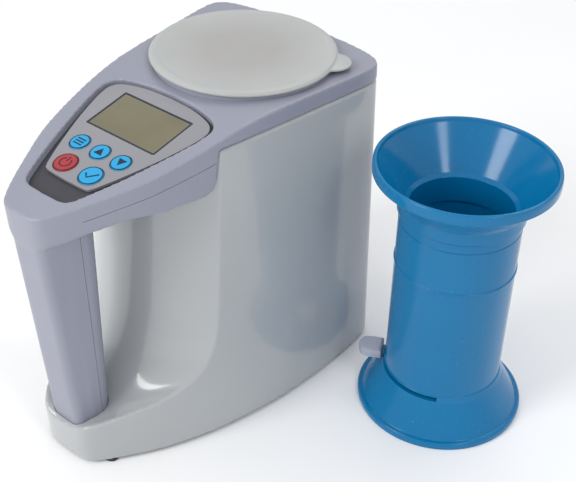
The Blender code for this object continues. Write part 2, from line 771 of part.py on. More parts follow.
def main_board(meter):
    board = box((-34, 34), (MAIN_BOARD_Y, MAIN_BOARD_Y + 1.6), (62, 162))
    chips = [((-14, 4), (96, 114)), ((10, 22), (100, 108)), ((-26, -18), (126, 140)),
             ((2, 26), (140, 150)), ((-22, -4), (74, 82))]
    for across, up in chips:
        board = joined(board, box(across, (MAIN_BOARD_Y + 1.0, MAIN_BOARD_Y + 4.6), up))
    board = joined(board, box((-12, 12), (MAIN_BOARD_Y + 1.0, MAIN_BOARD_Y + 8), (153, 160)))
    place("main_board", cleaned(board), "board_green", meter)


def key_board(meter):
    half = [(0, -60), (16, -60), (22, -50), (30, -20), (30, 26), (0, 26)]
    board = prism(mirrored_outline(half), *KEY_BOARD_Z)
    place("key_board", on_panel(board), "board_green", meter)


def key_switches(meter):
    for name, (x, y, _, _) in KEYS.items():
        foot = KEY_BOARD_Z[1] + GAP
        body = box((x - 3, x + 3), (y - 3, y + 3), (foot, foot + 1.3))
        body = joined(body, cylinder(1.7, foot + 0.9, foot + 1.9, (x, y), 12))
        place(name.replace("key", "switch"), on_panel(body), "dark_plastic", meter)


def lcd_module(meter):
    half_x, half_y, height = LCD_MODULE[0] / 2, LCD_MODULE[1] / 2, LCD_MODULE[2]
    module = box((-half_x, half_x), (LCD_Y - half_y, LCD_Y + half_y),
                 (LCD_MODULE_TOP - height, LCD_MODULE_TOP))
    place("lcd_module", on_panel(module), "lcd_glass", meter)


def ribbon(meter):
    """Flat cable from the main board's socket up to the key board."""
    route = [(-77.3, 156.5), (-72, 160), (-69.5, 172), (-69, 190), (-71, 204), (-76, 210.6),
             (-84, 215.8)]
    line = spline(route, 3)
    upper = offset_curve(line, 0.4)
    lower = offset_curve(line, -0.4)
    strip = side_prism(upper + list(reversed(lower)), 9)
    place("display_ribbon", strip, "inner_white", meter)


# ---------------------------------------------------------------- control panel

def panel_tray(meter):
    tray = prism(panel_outline(GAP), -PANEL_DEPTH + GAP, TRAY_TOP)
    tray = cut(tray, lcd_window(-1.5, -10, 10), *key_holes(0.4, -10, 10))
    place("panel_tray", on_panel(cleaned(tray)), "dark_tray", meter)


def overlay(meter):
    outline = mirrored_outline(OVERLAY_OUTLINE[::-1])
    sheet = prism(outline, OVERLAY_TOP - OVERLAY_THICKNESS, OVERLAY_TOP)
    sheet = cut(sheet, lcd_window(GAP, -10, 10), *key_holes(0.4, -10, 10))
    place("keypad_overlay", on_panel(cleaned(sheet)), "silver_overlay", meter)


def lcd_lens(meter):
    lens = lcd_window(0.0, OVERLAY_TOP - OVERLAY_THICKNESS, OVERLAY_TOP - LCD_SINK)
    place("lcd_lens", on_panel(lens), "lcd_glass", meter)


def key(panel, name):
    x, y, radius, colour = KEYS[name]
    flange = radius + 0.8
    below = [(0, 0), (radius - 1.5, 0.1), (radius - 0.4, 0.3), (radius, 0.8), (radius, 7.3),
             (flange, 7.3), (flange, 8.2), (1.6, 8.2), (1.6, 9.6), (0, 9.6)]
    profile = [(r, KEY_TOP - depth) for r, depth in below]
    place(name, turned(profile, KEY_ROUND, (x, y)), colour, panel, (x, y, KEY_TOP))


# ---------------------------------------------------------------- filling cup

def funnel(cup):
    profile = [
        (61.0, CUP_TOP), (CUP_RIM_R, 203.6), (CUP_RIM_R, 197.0), (61.6, 196.0), (59.4, 195.6),
        (46.5, 181.6), (44.4, 178.6), (43.9, 176.0), (43.9, 169.2), (43.2, 168.4), (41.7, 168.0),
        (41.7, BARREL_TOP + 0.4), (BARREL_BORE_R - GAP, BARREL_TOP + 0.4),
        (BARREL_BORE_R - GAP, SPIGOT_BOTTOM), (36.0, SPIGOT_BOTTOM), (36.0, 169.8),
        (38.6, 171.4), (59.6, 203.4), (60.2, CUP_TOP)]
    place("cup_funnel", turned(profile), "cup_blue", cup)


def sector(inner, outer, start, end, low, high, steps=12):
    angles = [math.radians(start + (end - start) * i / steps) for i in range(steps + 1)]
    outline = [(outer * math.cos(a), outer * math.sin(a)) for a in angles]
    outline += [(inner * math.cos(a), inner * math.sin(a)) for a in reversed(angles)]
    return prism(outline, low, high)


def barrel(cup):
    profile = [
        (BARREL_R - 0.4, BARREL_TOP), (BARREL_R, BARREL_TOP - 0.4), (BARREL_R, 127.4),
        (BARREL_R + 0.5, 126.9), (BARREL_R + 0.5, 126.1), (BARREL_R, 125.6), (BARREL_R + 0.1, 34.2),
        (43.0, 33.8), (44.4, 29.4), (47.4, 23.4), (52.0, 15.0), (57.4, 6.2), (59.2, 4.6),
        (60.6, 4.0), (CUP_FOOT_R, 3.2), (CUP_FOOT_R, 0.4), (60.6, 0), (58.8, 0), (58.4, 1.6),
        (55.4, 5.2), (49.8, 14.0), (45.0, 22.4), (41.8, 28.0), (GATE_BORE_R, 28.6),
        (GATE_BORE_R, GATE_LEDGE_Z), (BARREL_BORE_R, GATE_LEDGE_Z), (BARREL_BORE_R, BARREL_TOP)]
    body = turned(profile)
    neck_angle = math.degrees(LEVER_NECK / 2 / BARREL_R) + 0.8
    slot = sector(36, 50, LEVER_ANGLE - neck_angle, LEVER_ANGLE + LEVER_TRAVEL + neck_angle,
                  30.2, 33.4, 20)
    place("cup_barrel", cleaned(cut(body, slot)), "cup_blue", cup)


def gate_seat(cup):
    disc = cylinder(GATE_BORE_R - GAP, 33.7, GATE_LEDGE_Z - GAP, segments=ROUND)
    disc = joined(disc, cylinder(6, 35, 41, segments=SMALL_ROUND))
    for turn in (0, 180):
        start = LEVER_ANGLE + turn - OPENING_HALF_ANGLE
        disc = cut(disc, sector(9.0, 35.5, start, start + 2 * OPENING_HALF_ANGLE, 30, 45))
    disc = cut(disc, cylinder(2.3, 20, 50, segments=16))
    place("gate_seat", cleaned(disc), "cup_blue", cup)


def gate_shutter(cup):
    low, high = 31.2, 33.0
    plate = cylinder(9.5, low, high, segments=SMALL_ROUND)
    for turn in (0, 180):
        start = LEVER_ANGLE + turn - VANE_HALF_ANGLE
        plate = joined(plate, sector(2.0, 37.6, start, start + 2 * VANE_HALF_ANGLE, low, high))
    ear = box((30, 53), (-LEVER_NECK / 2, LEVER_NECK / 2), (low, high))
    plate = joined(plate, moved(ear, Matrix.Rotation(math.radians(LEVER_ANGLE), 4, "Z")))
    plate = cut(plate, cylinder(2.4, 20, 50, segments=16))
    place("gate_shutter", cleaned(plate), "cup_blue", cup)


def gate_lever(cup):
    outline = [(44.8, -8.4), (52, -8.9)] + arc((54.2, 0), 8.9, -70, 70, 8) + [(52, 8.9), (44.8, 8.4)]
    knob = prism(outline, 30.2, 36.4)
    crown = prism(inset(outline, 1.0), 36.0, 37.2)
    knob = joined(knob, crown)
    half = LEVER_NECK / 2 + GAP
    knob = cut(knob, box((40, 53.3), (-half, half), (30.9, 33.3)))
    knob = moved(knob, Matrix.Rotation(math.radians(LEVER_ANGLE), 4, "Z"))
    place("gate_lever", cleaned(knob), "lever_white", cup)


def gate_pivot(cup):
    profile = [(0, 40), (2.0, 40), (2.0, 30.9), (5.0, 30.9), (5.0, 29.4), (4.0, 28.6), (0, 28.6)]
    place("gate_pivot", turned(profile, 16), "steel", cup)


def build():
    for item in list(bpy.data.objects):
        bpy.data.objects.remove(item)
    meter = empty("meter", (-MID_X, -MID_Y, 0))
    panel = empty("panel", (0, PANEL_Y, top_height(PANEL_Y)), ARM_SLOPE, meter)
    cup = empty("cup", (CUP_X - MID_X, CUP_Y - MID_Y, 0))
    main_shell(meter)
    top_cover_and_handle_back(meter)
    for make in (mouth_ring, lid, base_plate, feet, base_screws, battery_door, battery_contacts,
                 outer_electrode, centre_electrode, cell_base, load_cell, load_cell_screw,
                 temperature_probe, main_board, key_board, key_switches, lcd_module, ribbon,
                 panel_tray, overlay, lcd_lens):
        make(meter)
    for index in range(4):
        battery(meter, index)
    for name in KEYS:
        key(panel, name)
    for make in (funnel, barrel, gate_seat, gate_shutter, gate_lever, gate_pivot):
        make(cup)


build()
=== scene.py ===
import math

import bmesh
import bpy
import numpy as np
from mathutils import Matrix, Vector


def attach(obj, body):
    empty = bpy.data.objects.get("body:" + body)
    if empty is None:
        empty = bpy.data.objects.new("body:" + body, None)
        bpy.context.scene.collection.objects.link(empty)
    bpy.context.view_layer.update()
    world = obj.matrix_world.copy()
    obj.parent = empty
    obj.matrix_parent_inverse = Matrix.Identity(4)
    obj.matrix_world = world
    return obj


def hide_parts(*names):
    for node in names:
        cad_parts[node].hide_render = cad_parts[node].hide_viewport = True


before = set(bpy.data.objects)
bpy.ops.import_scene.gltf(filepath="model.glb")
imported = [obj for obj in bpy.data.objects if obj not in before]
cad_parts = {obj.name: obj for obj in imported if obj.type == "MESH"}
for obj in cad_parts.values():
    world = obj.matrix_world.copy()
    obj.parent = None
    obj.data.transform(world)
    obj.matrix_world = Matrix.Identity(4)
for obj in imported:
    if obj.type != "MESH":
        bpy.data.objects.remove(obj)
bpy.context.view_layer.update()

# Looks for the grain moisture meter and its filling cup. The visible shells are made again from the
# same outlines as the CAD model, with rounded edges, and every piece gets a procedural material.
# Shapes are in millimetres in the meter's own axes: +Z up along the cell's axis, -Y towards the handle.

MM = 0.001

# ---------------------------------------------------------------- sizes, as in the CAD model

GAP = 0.3
BODY_BOTTOM, BODY_TOP, COVER_TOP = 2.5, 228.0, 240.0
BODY_WALL, COVER_WALL = 3.0, 2.5
HULL_LOW, HULL_HIGH = -20.0, 262.0
FRONT_TOP = 212.0
ARM_SLOPE, SLOPE_START, SLOPE_END = 11.3, -38.0, -86.0
ARM_REAR, ARM_UNDER = -88.0, 199.4
FRONT, REAR, DEEP, HIGH, BROAD = -260.0, 100.0, -60.0, 320.0, 120.0
ARM_NOSE = [
    (FRONT, 173), (-200, 188), (-187, 191.2), (-174, 195), (-160, 197.8), (-145, 199.2),
    (-125, ARM_UNDER)]
ARM_CORNER = [
    (-101, ARM_UNDER), (-96.3, 201), (-93, 204.5), (-91.5, 209), (-89.5, 222),
    (ARM_REAR, BODY_TOP)]
BASE_OUTLINE = [
    (0, -188.8), (12, -188.3), (19.5, -186.6), (25, -182.2), (34.4, -170), (47.8, -149),
    (58.6, -127), (67.8, -102), (75.2, -73.5), (81.0, -40), (83.8, 0), (83.6, 24), (82.0, 46),
    (78.5, 58), (69, 64.5), (40, 68), (0, 69.6)]
TOP_OUTLINE = [
    (0, -200.4), (9.5, -200.0), (14.5, -198.2), (18.5, -194), (25.8, -182.2), (36.8, -160.5),
    (47.6, -137), (55.8, -107), (61.2, -77), (66.4, -40), (71.6, 0), (75.0, 24), (77.0, 43.5),
    (74.8, 54.3), (63.5, 61.3), (38, 65.6), (0, 67.3)]
WIDEST, FOREMOST = 83.8, -200.45
OUTLINE_STEPS = [3, 5, 5, 3, 4, 5, 5, 5, 5, 5, 5, 4, 5, 5, 4, 4]
ROUGH_STEPS = [1, 2, 2, 1, 1, 2, 2, 2, 2, 2, 1, 1, 2, 2, 1, 1]
HAND_EDGE = [
    (-84, 270), (-88.5, 214), (-93, 160), (-96.5, 118), (-99.5, 91), (-104, 76), (-111, 64),
    (-120, 56.5), (-135, 50.5), (-150, 46.5), (-163, 43.5), (-176, 40.5), (-190, 36.5), (-235, 25)]
HAND_MIDDLE = [
    (-112, 270), (-117, 214), (-121, 160), (-125, 118), (-128.5, 91), (-133.5, 72), (-140, 58),
    (-148, 48), (-157, 40.5), (-166, 36.5), (-173, 34.5), (-181, 33), (-190, 31), (-235, 21)]
POST_BOTTOM, POST_TOP = 8.0, 206.0
POST_HALF_WIDTH, POST_FRONT_HALF_WIDTH = 18.5, 15.5
POST_FRONT_LOW, POST_FRONT_HIGH = -185.0, -199.6
POST_FRONT_RADIUS, POST_REAR_RADIUS = 7.0, 12.0
POST_REAR_LOW, POST_REAR_HIGH = -157.0, -153.5
POST_SEAM = -167.0
PANEL_Y = -105.0
PANEL_OUTLINE = [
    (0, 36.2), (22, 34.9), (40, 30.4), (47.2, 24), (48.1, 16), (46.4, 5), (41.2, -15), (32.4, -43),
    (23.2, -67), (19, -73.6), (12.5, -75.9), (0, -76.6)]
OVERLAY_OUTLINE = [
    (0, 34.4), (21, 33.1), (38.6, 28.6), (44.8, 22.8), (45.6, 16), (43.6, 5), (37.8, -15),
    (28.8, -39), (23.6, -51), (21, -56), (17.2, -58.6), (0, -59.3)]
PANEL_DEPTH, TRAY_TOP = 6.0, -4.5
OVERLAY_TOP, OVERLAY_THICKNESS = -2.4, 1.8
LCD_SIZE, LCD_Y, LCD_SINK = (61.6, 36.2), 5.0, 0.2
KEY_TOP = -1.6
KEYS = {             # name: (x, y, radius)
    "key_menu": (-18.8, -29.5, 6.9),
    "key_up": (0.0, -29.5, 6.9),
    "key_down": (18.8, -29.5, 6.9),
    "key_power": (-11.6, -48.3, 8.1),
    "key_ok": (11.6, -48.3, 8.1),
}
MOUTH_HOLE_R, SEAT_Z, SEAT_R = 63.6, 233.0, 61.5
COLLAR_R, COLLAR_TOP = 63.3, 242.4
LID_R, LID_FLANGE_Z, LID_TOP = 65.0, 242.8, 245.9
LID_TAB_ANGLE, LID_TAB_CENTRE, LID_TAB_R, LID_TAB_FILLET = 26.5, 62.8, 12.6, 4.0
CUP_X, CUP_Y = 163.6, 36.6
CUP_RIM_R, CUP_TOP, CUP_FOOT_R = 62.3, 204.6, 61.0
BARREL_R, BARREL_TOP, BARREL_BORE_R, SPIGOT_BOTTOM = 42.1, 160.6, 38.0, 150.0
GATE_BORE_R, GATE_LEDGE_Z = 39.2, 36.3
LEVER_ANGLE, LEVER_TRAVEL, LEVER_NECK = -153.0, 85.0, 9.0

# ---------------------------------------------------------------- sizes of the fine surface

CASING_VOXEL, COVER_VOXEL = 1.4, 1.0            # the rounding of the moulded edges follows these
CASING_PASSES, COVER_PASSES, JUNCTION_PASSES = 4, 3, 30
JUNCTION_Z, JUNCTION_Y = (186, 200), (-192, -150)
POST_SOCKET_GAP = 0.35
POST_SIDE_BULGE = 0.4
PARTING_LINE = [(-91, 220.5), (-120, 216.5), (-150, 211.5), (-176, 206.5)]
PARTING_HALF, PARTING_DEPTH = 0.22, 0.35
# Painted shade: a dark band inside the display window's edge stands in for its inner shadow.
WINDOW_SHADE_BAND = (0.2, 1.2)                      # from the window's edge
PRINT_SINK, PRINT_RISE = 0.05, 0.07
RING_INSET, RING_WIDTH = 0.5, 0.5
KEY_FLANGE, KEY_STEM_R = 0.8, 1.6

# The meter's axis and the cup's axis in the frame, in millimetres
MID_X = (CUP_X + CUP_RIM_R - WIDEST) / 2
MID_Y = (CUP_Y + CUP_RIM_R + FOREMOST) / 2

# ---------------------------------------------------------------- mesh tools


def mesh_of(bm):
    bmesh.ops.recalc_face_normals(bm, faces=bm.faces)
    mesh = bpy.data.meshes.new("solid")
    bm.to_mesh(mesh)
    bm.free()
    return mesh


def loft(rings):
    """A closed solid through rings of equally many points."""
    bm = bmesh.new()
    loops = [[bm.verts.new(point) for point in ring] for ring in rings]
    count = len(loops[0])
    for low, high in zip(loops, loops[1:]):
        for i in range(count):
            j = (i + 1) % count
            bm.faces.new((low[i], low[j], high[j], high[i]))
    bm.faces.new(list(reversed(loops[0])))
    bm.faces.new(loops[-1])
    bmesh.ops.triangulate(bm, faces=bm.faces)
    return mesh_of(bm)


def prism(outline, low, high):
    return loft([[(x, y, z) for x, y in outline] for z in (low, high)])


def side_prism(outline, half_width):
    return loft([[(x, y, z) for y, z in outline] for x in (-half_width, half_width)])


def turned(profile, segments=144, centre=(0.0, 0.0)):
    """A closed profile of (radius, z) turned about a vertical axis."""
    bm = bmesh.new()
    x, y = centre
    angles = [2 * math.pi * i / segments for i in range(segments)]
    loops = []
    for radius, z in profile:
        turns = angles if radius > 0 else [0]
        loops.append([bm.verts.new((x + radius * math.cos(a), y + radius * math.sin(a), z))
                      for a in turns])
    for upper, lower in zip(loops, loops[1:] + loops[:1]):
        if len(upper) == 1 and len(lower) == 1:
            continue
        for i in range(segments):
            j = (i + 1) % segments
            corners = [upper[i % len(upper)], upper[j % len(upper)], lower[j % len(lower)],
                       lower[i % len(lower)]]
            bm.faces.new(list(dict.fromkeys(corners)))
    return mesh_of(bm)


def cylinder(radius, low, high, centre=(0.0, 0.0), segments=48):
    return turned([(0, high), (radius, high), (radius, low), (0, low)], segments, centre)


def box(x, y, z):
    return prism([(x[0], y[0]), (x[1], y[0]), (x[1], y[1]), (x[0], y[1])], *z)


def merged(*meshes):
    """Several meshes as one, without a Boolean."""
    bm = bmesh.new()
    for mesh in meshes:
        bm.from_mesh(mesh)
    return mesh_of(bm)


def moved(mesh, matrix):
    mesh.transform(matrix)
    return mesh


def evaluated(mesh, add_modifiers):
    """The mesh after modifiers that add_modifiers puts on a temporary object."""
    item = bpy.data.objects.new("work", mesh)
    bpy.context.scene.collection.objects.link(item)
    add_modifiers(item)
    graph = bpy.context.evaluated_depsgraph_get()
    result = bpy.data.meshes.new_from_object(item.evaluated_get(graph))
    bpy.data.objects.remove(item)
    return result


def combine(operation, body, *others):
    """The body after one exact Boolean operation with each of the others in turn."""
    for other in others:
        tool = bpy.data.objects.new("tool", other)
        bpy.context.scene.collection.objects.link(tool)

        def add(item):
            modifier = item.modifiers.new("combine", "BOOLEAN")
            modifier.operation = operation
            modifier.solver = "EXACT"
            modifier.object = tool

        body = evaluated(body, add)
        bpy.data.objects.remove(tool)
    return body


def cut(body, *tools):
    return combine("DIFFERENCE", body, *tools)


def remeshed(mesh, voxel):
    def add(item):
        modifier = item.modifiers.new("remesh", "REMESH")
        modifier.mode = "VOXEL"
        modifier.voxel_size = voxel
        modifier.use_smooth_shade = True
    return evaluated(mesh, add)


def soften(mesh, passes, weight=None):
    """Laplacian smoothing in place; weight(points) gives each vertex a share from 0 to 1."""
    count = len(mesh.vertices)
    points = np.empty(count * 3)
    mesh.vertices.foreach_get("co", points)
    points = points.reshape(-1, 3)
    ends = np.empty(len(mesh.edges) * 2, dtype=np.int64)
    mesh.edges.foreach_get("vertices", ends)
    first, second = ends.reshape(-1, 2).T
    degree = np.bincount(first, minlength=count) + np.bincount(second, minlength=count)
    share = 0.5 * (np.ones(count) if weight is None else np.clip(weight(points), 0, 1))
    for _ in range(passes):
        for k in range(3):
            line = points[:, k]
            total = np.bincount(first, line[second], count) + np.bincount(second, line[first], count)
            line += share * (total / degree - line)
    mesh.vertices.foreach_set("co", points.ravel())
    mesh.update()
    return mesh


def spline(points, steps):
    """Catmull-Rom samples through the points, with the given count in each span."""
    if isinstance(steps, int):
        steps = [steps] * (len(points) - 1)
    first = tuple(2 * a - b for a, b in zip(points[0], points[1]))
    last = tuple(2 * a - b for a, b in zip(points[-1], points[-2]))
    padded = [first] + list(points) + [last]
    samples = []
    for i, count in enumerate(steps):
        p0, p1, p2, p3 = padded[i:i + 4]
        for k in range(count):
            t = k / count
            samples.append(tuple(
                0.5 * (2 * b + (c - a) * t + (2 * a - 5 * b + 4 * c - d) * t * t
                       + (3 * b - a - 3 * c + d) * t ** 3)
                for a, b, c, d in zip(p0, p1, p2, p3)))
    samples.append(tuple(points[-1]))
    return samples


def mirrored_outline(half):
    return half + [(-x, y) for x, y in reversed(half[1:-1])]


def shifted(points, distance, closed):
    """A line moved to its left by a distance."""
    count = len(points)
    result = []
    for i, (x, y) in enumerate(points):
        before = points[i - 1] if closed else points[max(i - 1, 0)]
        after = points[(i + 1) % count] if closed else points[min(i + 1, count - 1)]
        along = Vector((after[0] - before[0], after[1] - before[1])).normalized()
        result.append((x - along.y * distance, y + along.x * distance))
    return result


def strip(points, width, low, high, closed=False):
    """A flat printed line of even width along a list of points."""
    left = shifted(points, width / 2, closed)
    right = shifted(points, -width / 2, closed)
    bm = bmesh.new()
    rows = [[bm.verts.new((x, y, z)) for x, y in side] for side, z in
            ((left, high), (right, high), (right, low), (left, low))]
    count = len(points)
    for i in range(count if closed else count - 1):
        j = (i + 1) % count
        for a in range(4):
            b = (a + 1) % 4
            bm.faces.new((rows[a][i], rows[a][j], rows[b][j], rows[b][i]))
    if not closed:
        bm.faces.new([row[0] for row in reversed(rows)])
        bm.faces.new([row[-1] for row in rows])
    return mesh_of(bm)


def arc(centre, radius, start, end, steps):
    angles = [math.radians(start + (end - start) * i / steps) for i in range(steps + 1)]
    return [(centre[0] + radius * math.cos(a), centre[1] + radius * math.sin(a)) for a in angles]


def filleted(points, closed=True, steps=5):
    """Rounds the corners of a line whose points are (x, y) or (x, y, radius)."""
    result = []
    count = len(points)
    for i, point in enumerate(points):
        ends = closed or 0 < i < count - 1
        if len(point) == 2 or not ends:
            result.append(tuple(point[:2]))
            continue
        here = Vector(point[:2])
        before = Vector(points[i - 1][:2]) - here
        after = Vector(points[(i + 1) % count][:2]) - here
        half = before.angle(after) / 2
        trim = min(point[2] / math.tan(half), before.length * 0.48, after.length * 0.48)
        start = here + before.normalized() * trim
        end = here + after.normalized() * trim
        for k in range(steps + 1):
            t = k / steps
            result.append(tuple((1 - t) ** 2 * start + 2 * t * (1 - t) * here + t * t * end))
    return result

# ---------------------------------------------------------------- shape of the meter


def hull_ring(z, inward=0.0, steps=OUTLINE_STEPS):
    across = z / COVER_TOP
    along = z / FRONT_TOP
    half = []
    for (xb, yb), (xt, yt) in zip(spline(BASE_OUTLINE, steps), spline(TOP_OUTLINE, steps)):
        half.append((xb + (xt - xb) * across, yb + (yt - yb) * along))
    outline = mirrored_outline(half)
    if inward:
        outline = shifted(outline, inward, True)
    return [(x, y, z) for x, y in outline]


def hull(inward=0.0, low=HULL_LOW, high=HULL_HIGH, steps=OUTLINE_STEPS):
    return loft([hull_ring(z, inward, steps) for z in (low, (low + high) / 2, high)])


def half_width(y, z):
    ring = hull_ring(z)[:sum(OUTLINE_STEPS) + 1]
    for (xa, ya, _), (xb, yb, _) in zip(ring, ring[1:]):
        if ya <= y <= yb:
            return xa + (xb - xa) * (y - ya) / max(yb - ya, 1e-6)
    return ring[1][0]


def hand_space(clearance=0.0, steps=5, columns=41):
    """Everything in front of the casing's wall and above the toe; clearance pushes it into them."""
    line = spline(HAND_EDGE, steps)
    edge = shifted(line, clearance, False)
    middle = shifted(spline(HAND_MIDDLE, steps), clearance, False)
    widths = [half_width(y, z) for y, z in line]
    rings = []
    for i in range(columns):
        column = -1.3 + 2.6 * i / (columns - 1)
        share = min(column * column, 1.0)
        ring = []
        for (ye, ze), (ym, zm), width in zip(edge, middle, widths):
            reach = column * max(width, 24.0)
            ring.append((reach, ym + (ye - ym) * share, zm + (ze - zm) * share))
        first, last = ring[0], ring[-1]
        ring += [(last[0], FRONT, last[2]), (last[0], FRONT, HIGH), (first[0], FRONT, HIGH),
                 (first[0], first[1], HIGH)]
        rings.append(ring)
    return loft(rings)


def top_height(y):
    fall = math.tan(math.radians(ARM_SLOPE))
    if y > SLOPE_START:
        return COVER_TOP
    if y > SLOPE_END:
        return COVER_TOP - fall * (SLOPE_START - y) ** 2 / (2 * (SLOPE_START - SLOPE_END))
    return top_height(SLOPE_END + 1e-6) - fall * (SLOPE_END - y)


def above_top(lower=0.0):
    """Everything above the cover's top surface, moved down by a distance."""
    bend = [SLOPE_START + (SLOPE_END - SLOPE_START) * i / 16 for i in range(17)]
    line = [(y, top_height(y) - lower) for y in [REAR] + bend + [FRONT]]
    return side_prism(line + [(FRONT, HIGH), (REAR, HIGH)], BROAD)


def arm_line(lift):
    """Underside of the arm from the handle backwards, then up its rear end to the casing's top."""
    level = len(ARM_NOSE) + 1
    return [(y - (lift if i >= level else 0), z + (lift if i <= level + 2 else 0))
            for i, (y, z) in enumerate(ARM_NOSE + ARM_CORNER)]


def below_cover():
    """Everything under the cover's lower edge."""
    line = arm_line(GAP)
    line[-1] = (line[-1][0], BODY_TOP + GAP)
    return side_prism(line + [(REAR, BODY_TOP + GAP), (REAR, DEEP), (FRONT, DEEP)], BROAD)


def arm_zone():
    """The room that the arm takes from the casing's upper front."""
    return side_prism(arm_line(0.0) + [(ARM_REAR, HIGH), (FRONT, HIGH)], BROAD)


def post_ring(z, inward=0.0):
    share = (z - POST_BOTTOM) / (POST_TOP - POST_BOTTOM)
    front = POST_FRONT_LOW + (POST_FRONT_HIGH - POST_FRONT_LOW) * share
    rear = POST_REAR_LOW + (POST_REAR_HIGH - POST_REAR_LOW) * share
    corner = arc((POST_FRONT_HALF_WIDTH - POST_FRONT_RADIUS, front + POST_FRONT_RADIUS),
                 POST_FRONT_RADIUS, -90, -12, 10)
    back = arc((POST_HALF_WIDTH - POST_REAR_RADIUS, rear - POST_REAR_RADIUS),
               POST_REAR_RADIUS, 4, 86, 12)
    side = ((corner[-1][0] + back[0][0]) / 2 + POST_SIDE_BULGE, (corner[-1][1] + back[0][1]) / 2)
    half = [(0, front)] + corner + [side] + back + [(0, rear)]
    outline = mirrored_outline(half)
    if inward:
        outline = shifted(outline, inward, True)
    return [(x, y, z) for x, y in outline]


def post(inward=0.0, low=POST_BOTTOM, high=POST_TOP):
    return loft([post_ring(z, inward) for z in (low, (low + high) / 2, high)])


PANEL = (Matrix.Translation((0, PANEL_Y, top_height(PANEL_Y)))
         @ Matrix.Rotation(math.radians(ARM_SLOPE), 4, "X"))


def panel_outline(inward=0.0, steps=6):
    return shifted(mirrored_outline(spline(PANEL_OUTLINE[::-1], steps)), inward, True)


def rounded_box(half_x, half_y, centre_y, radius, steps=5):
    """The outline of a rectangle with round corners, anticlockwise."""
    outline = []
    for sx, sy, start in ((1, -1, -90), (1, 1, 0), (-1, 1, 90), (-1, -1, 180)):
        centre = (sx * (half_x - radius), centre_y + sy * (half_y - radius))
        outline += arc(centre, radius, start, start + 90, steps)
    return outline


def lcd_window(grow, low, high, radius=1.0):
    return prism(rounded_box(LCD_SIZE[0] / 2 + grow, LCD_SIZE[1] / 2 + grow, LCD_Y, radius), low, high)


def key_holes(grow, low, high):
    return [cylinder(radius + grow, low, high, (x, y)) for x, y, radius in KEYS.values()]

# ---------------------------------------------------------------- placing pieces


def place(name, mesh, finish, body, replaces=(), sharp=34, cup=False):
    """Puts a millimetre mesh, in the meter's or the cup's axes, into the scene on a body."""
    x, y = (CUP_X - MID_X, CUP_Y - MID_Y) if cup else (-MID_X, -MID_Y)
    mesh.transform(Matrix.Scale(MM, 4) @ Matrix.Translation((x, y, 0)))
    mesh.name = name
    mesh.materials.clear()
    mesh.materials.append(finish)
    mesh.shade_smooth()
    if sharp:
        mesh.set_sharp_from_angle(angle=math.radians(sharp))
    piece = bpy.data.objects.new(name, mesh)
    bpy.context.scene.collection.objects.link(piece)
    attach(piece, body)
    if replaces:
        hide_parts(*replaces)
    return piece

# ---------------------------------------------------------------- materials


class Finish:
    """A Principled material, with helpers that build its node tree."""

    def __init__(self, name, **values):
        self.material = bpy.data.materials.new(name)
        self.material.use_nodes = True
        self.tree = self.material.node_tree
        self.shader = self.tree.nodes["Principled BSDF"]
        for socket, value in values.items():
            self.shader.inputs[socket.replace("_", " ")].default_value = value
        self.place = self.node("ShaderNodeTexCoord").outputs["Object"]

    def node(self, kind, **settings):
        made = self.tree.nodes.new(kind)
        for key, value in settings.items():
            setattr(made, key, value)
        return made

    def link(self, output, target):
        self.tree.links.new(output, target)

    def noise(self, scale, detail=3.0, stretch=None, roughness=0.5):
        made = self.node("ShaderNodeTexNoise")
        made.inputs["Scale"].default_value = scale
        made.inputs["Detail"].default_value = detail
        made.inputs["Roughness"].default_value = roughness
        source = self.place
        if stretch:
            mapping = self.node("ShaderNodeMapping")
            mapping.inputs["Rotation"].default_value = [math.radians(a) for a in stretch[1]]
            mapping.inputs["Scale"].default_value = stretch[0]
            self.link(source, mapping.inputs["Vector"])
            source = mapping.outputs["Vector"]
        self.link(source, made.inputs["Vector"])
        return made.outputs["Fac"]

    def distance(self, point):
        """Distance in metres from a point of the frame."""
        made = self.node("ShaderNodeVectorMath", operation="DISTANCE")
        made.inputs[1].default_value = point
        self.link(self.place, made.inputs[0])
        return made.outputs["Value"]

    def mapped(self, value, low, high, to_low, to_high):
        made = self.node("ShaderNodeMapRange")
        for socket, number in zip(("From Min", "From Max", "To Min", "To Max"),
                                  (low, high, to_low, to_high)):
            made.inputs[socket].default_value = number
        self.link(value, made.inputs["Value"])
        return made.outputs["Result"]

    def mixed(self, factor, first, second):
        """A colour mix; first and second are colours or sockets."""
        made = self.node("ShaderNodeMix", data_type="RGBA")
        for socket, value in ((made.inputs[6], first), (made.inputs[7], second)):
            if isinstance(value, bpy.types.NodeSocket):
                self.link(value, socket)
            else:
                socket.default_value = (*value, 1)
        self.link(factor, made.inputs[0])
        return made.outputs[2]

    def joined(self, *values, operation="ADD"):
        """One value from several by a math operation."""
        result = values[0]
        for value in values[1:]:
            made = self.node("ShaderNodeMath", operation=operation)
            self.link(result, made.inputs[0])
            self.link(value, made.inputs[1])
            result = made.outputs[0]
        return result

    def colour(self, output):
        self.link(output, self.shader.inputs["Base Color"])

    def roughness(self, output):
        self.link(output, self.shader.inputs["Roughness"])

    def bump(self, output, distance, strength=1.0):
        made = self.node("ShaderNodeBump")
        made.inputs["Distance"].default_value = distance * MM
        made.inputs["Strength"].default_value = strength
        previous = self.shader.inputs["Normal"].links
        if previous:
            self.link(previous[0].from_socket, made.inputs["Normal"])
        self.link(output, made.inputs["Height"])
        self.link(made.outputs["Normal"], self.shader.inputs["Normal"])

    def edges(self):
        """1 on outer edges and 0 elsewhere."""
        geometry = self.node("ShaderNodeNewGeometry")
        return self.mapped(geometry.outputs["Pointiness"], 0.51, 0.56, 0.0, 1.0)


def scaled(colour, share):
    return tuple(min(1.0, value * share) for value in colour)


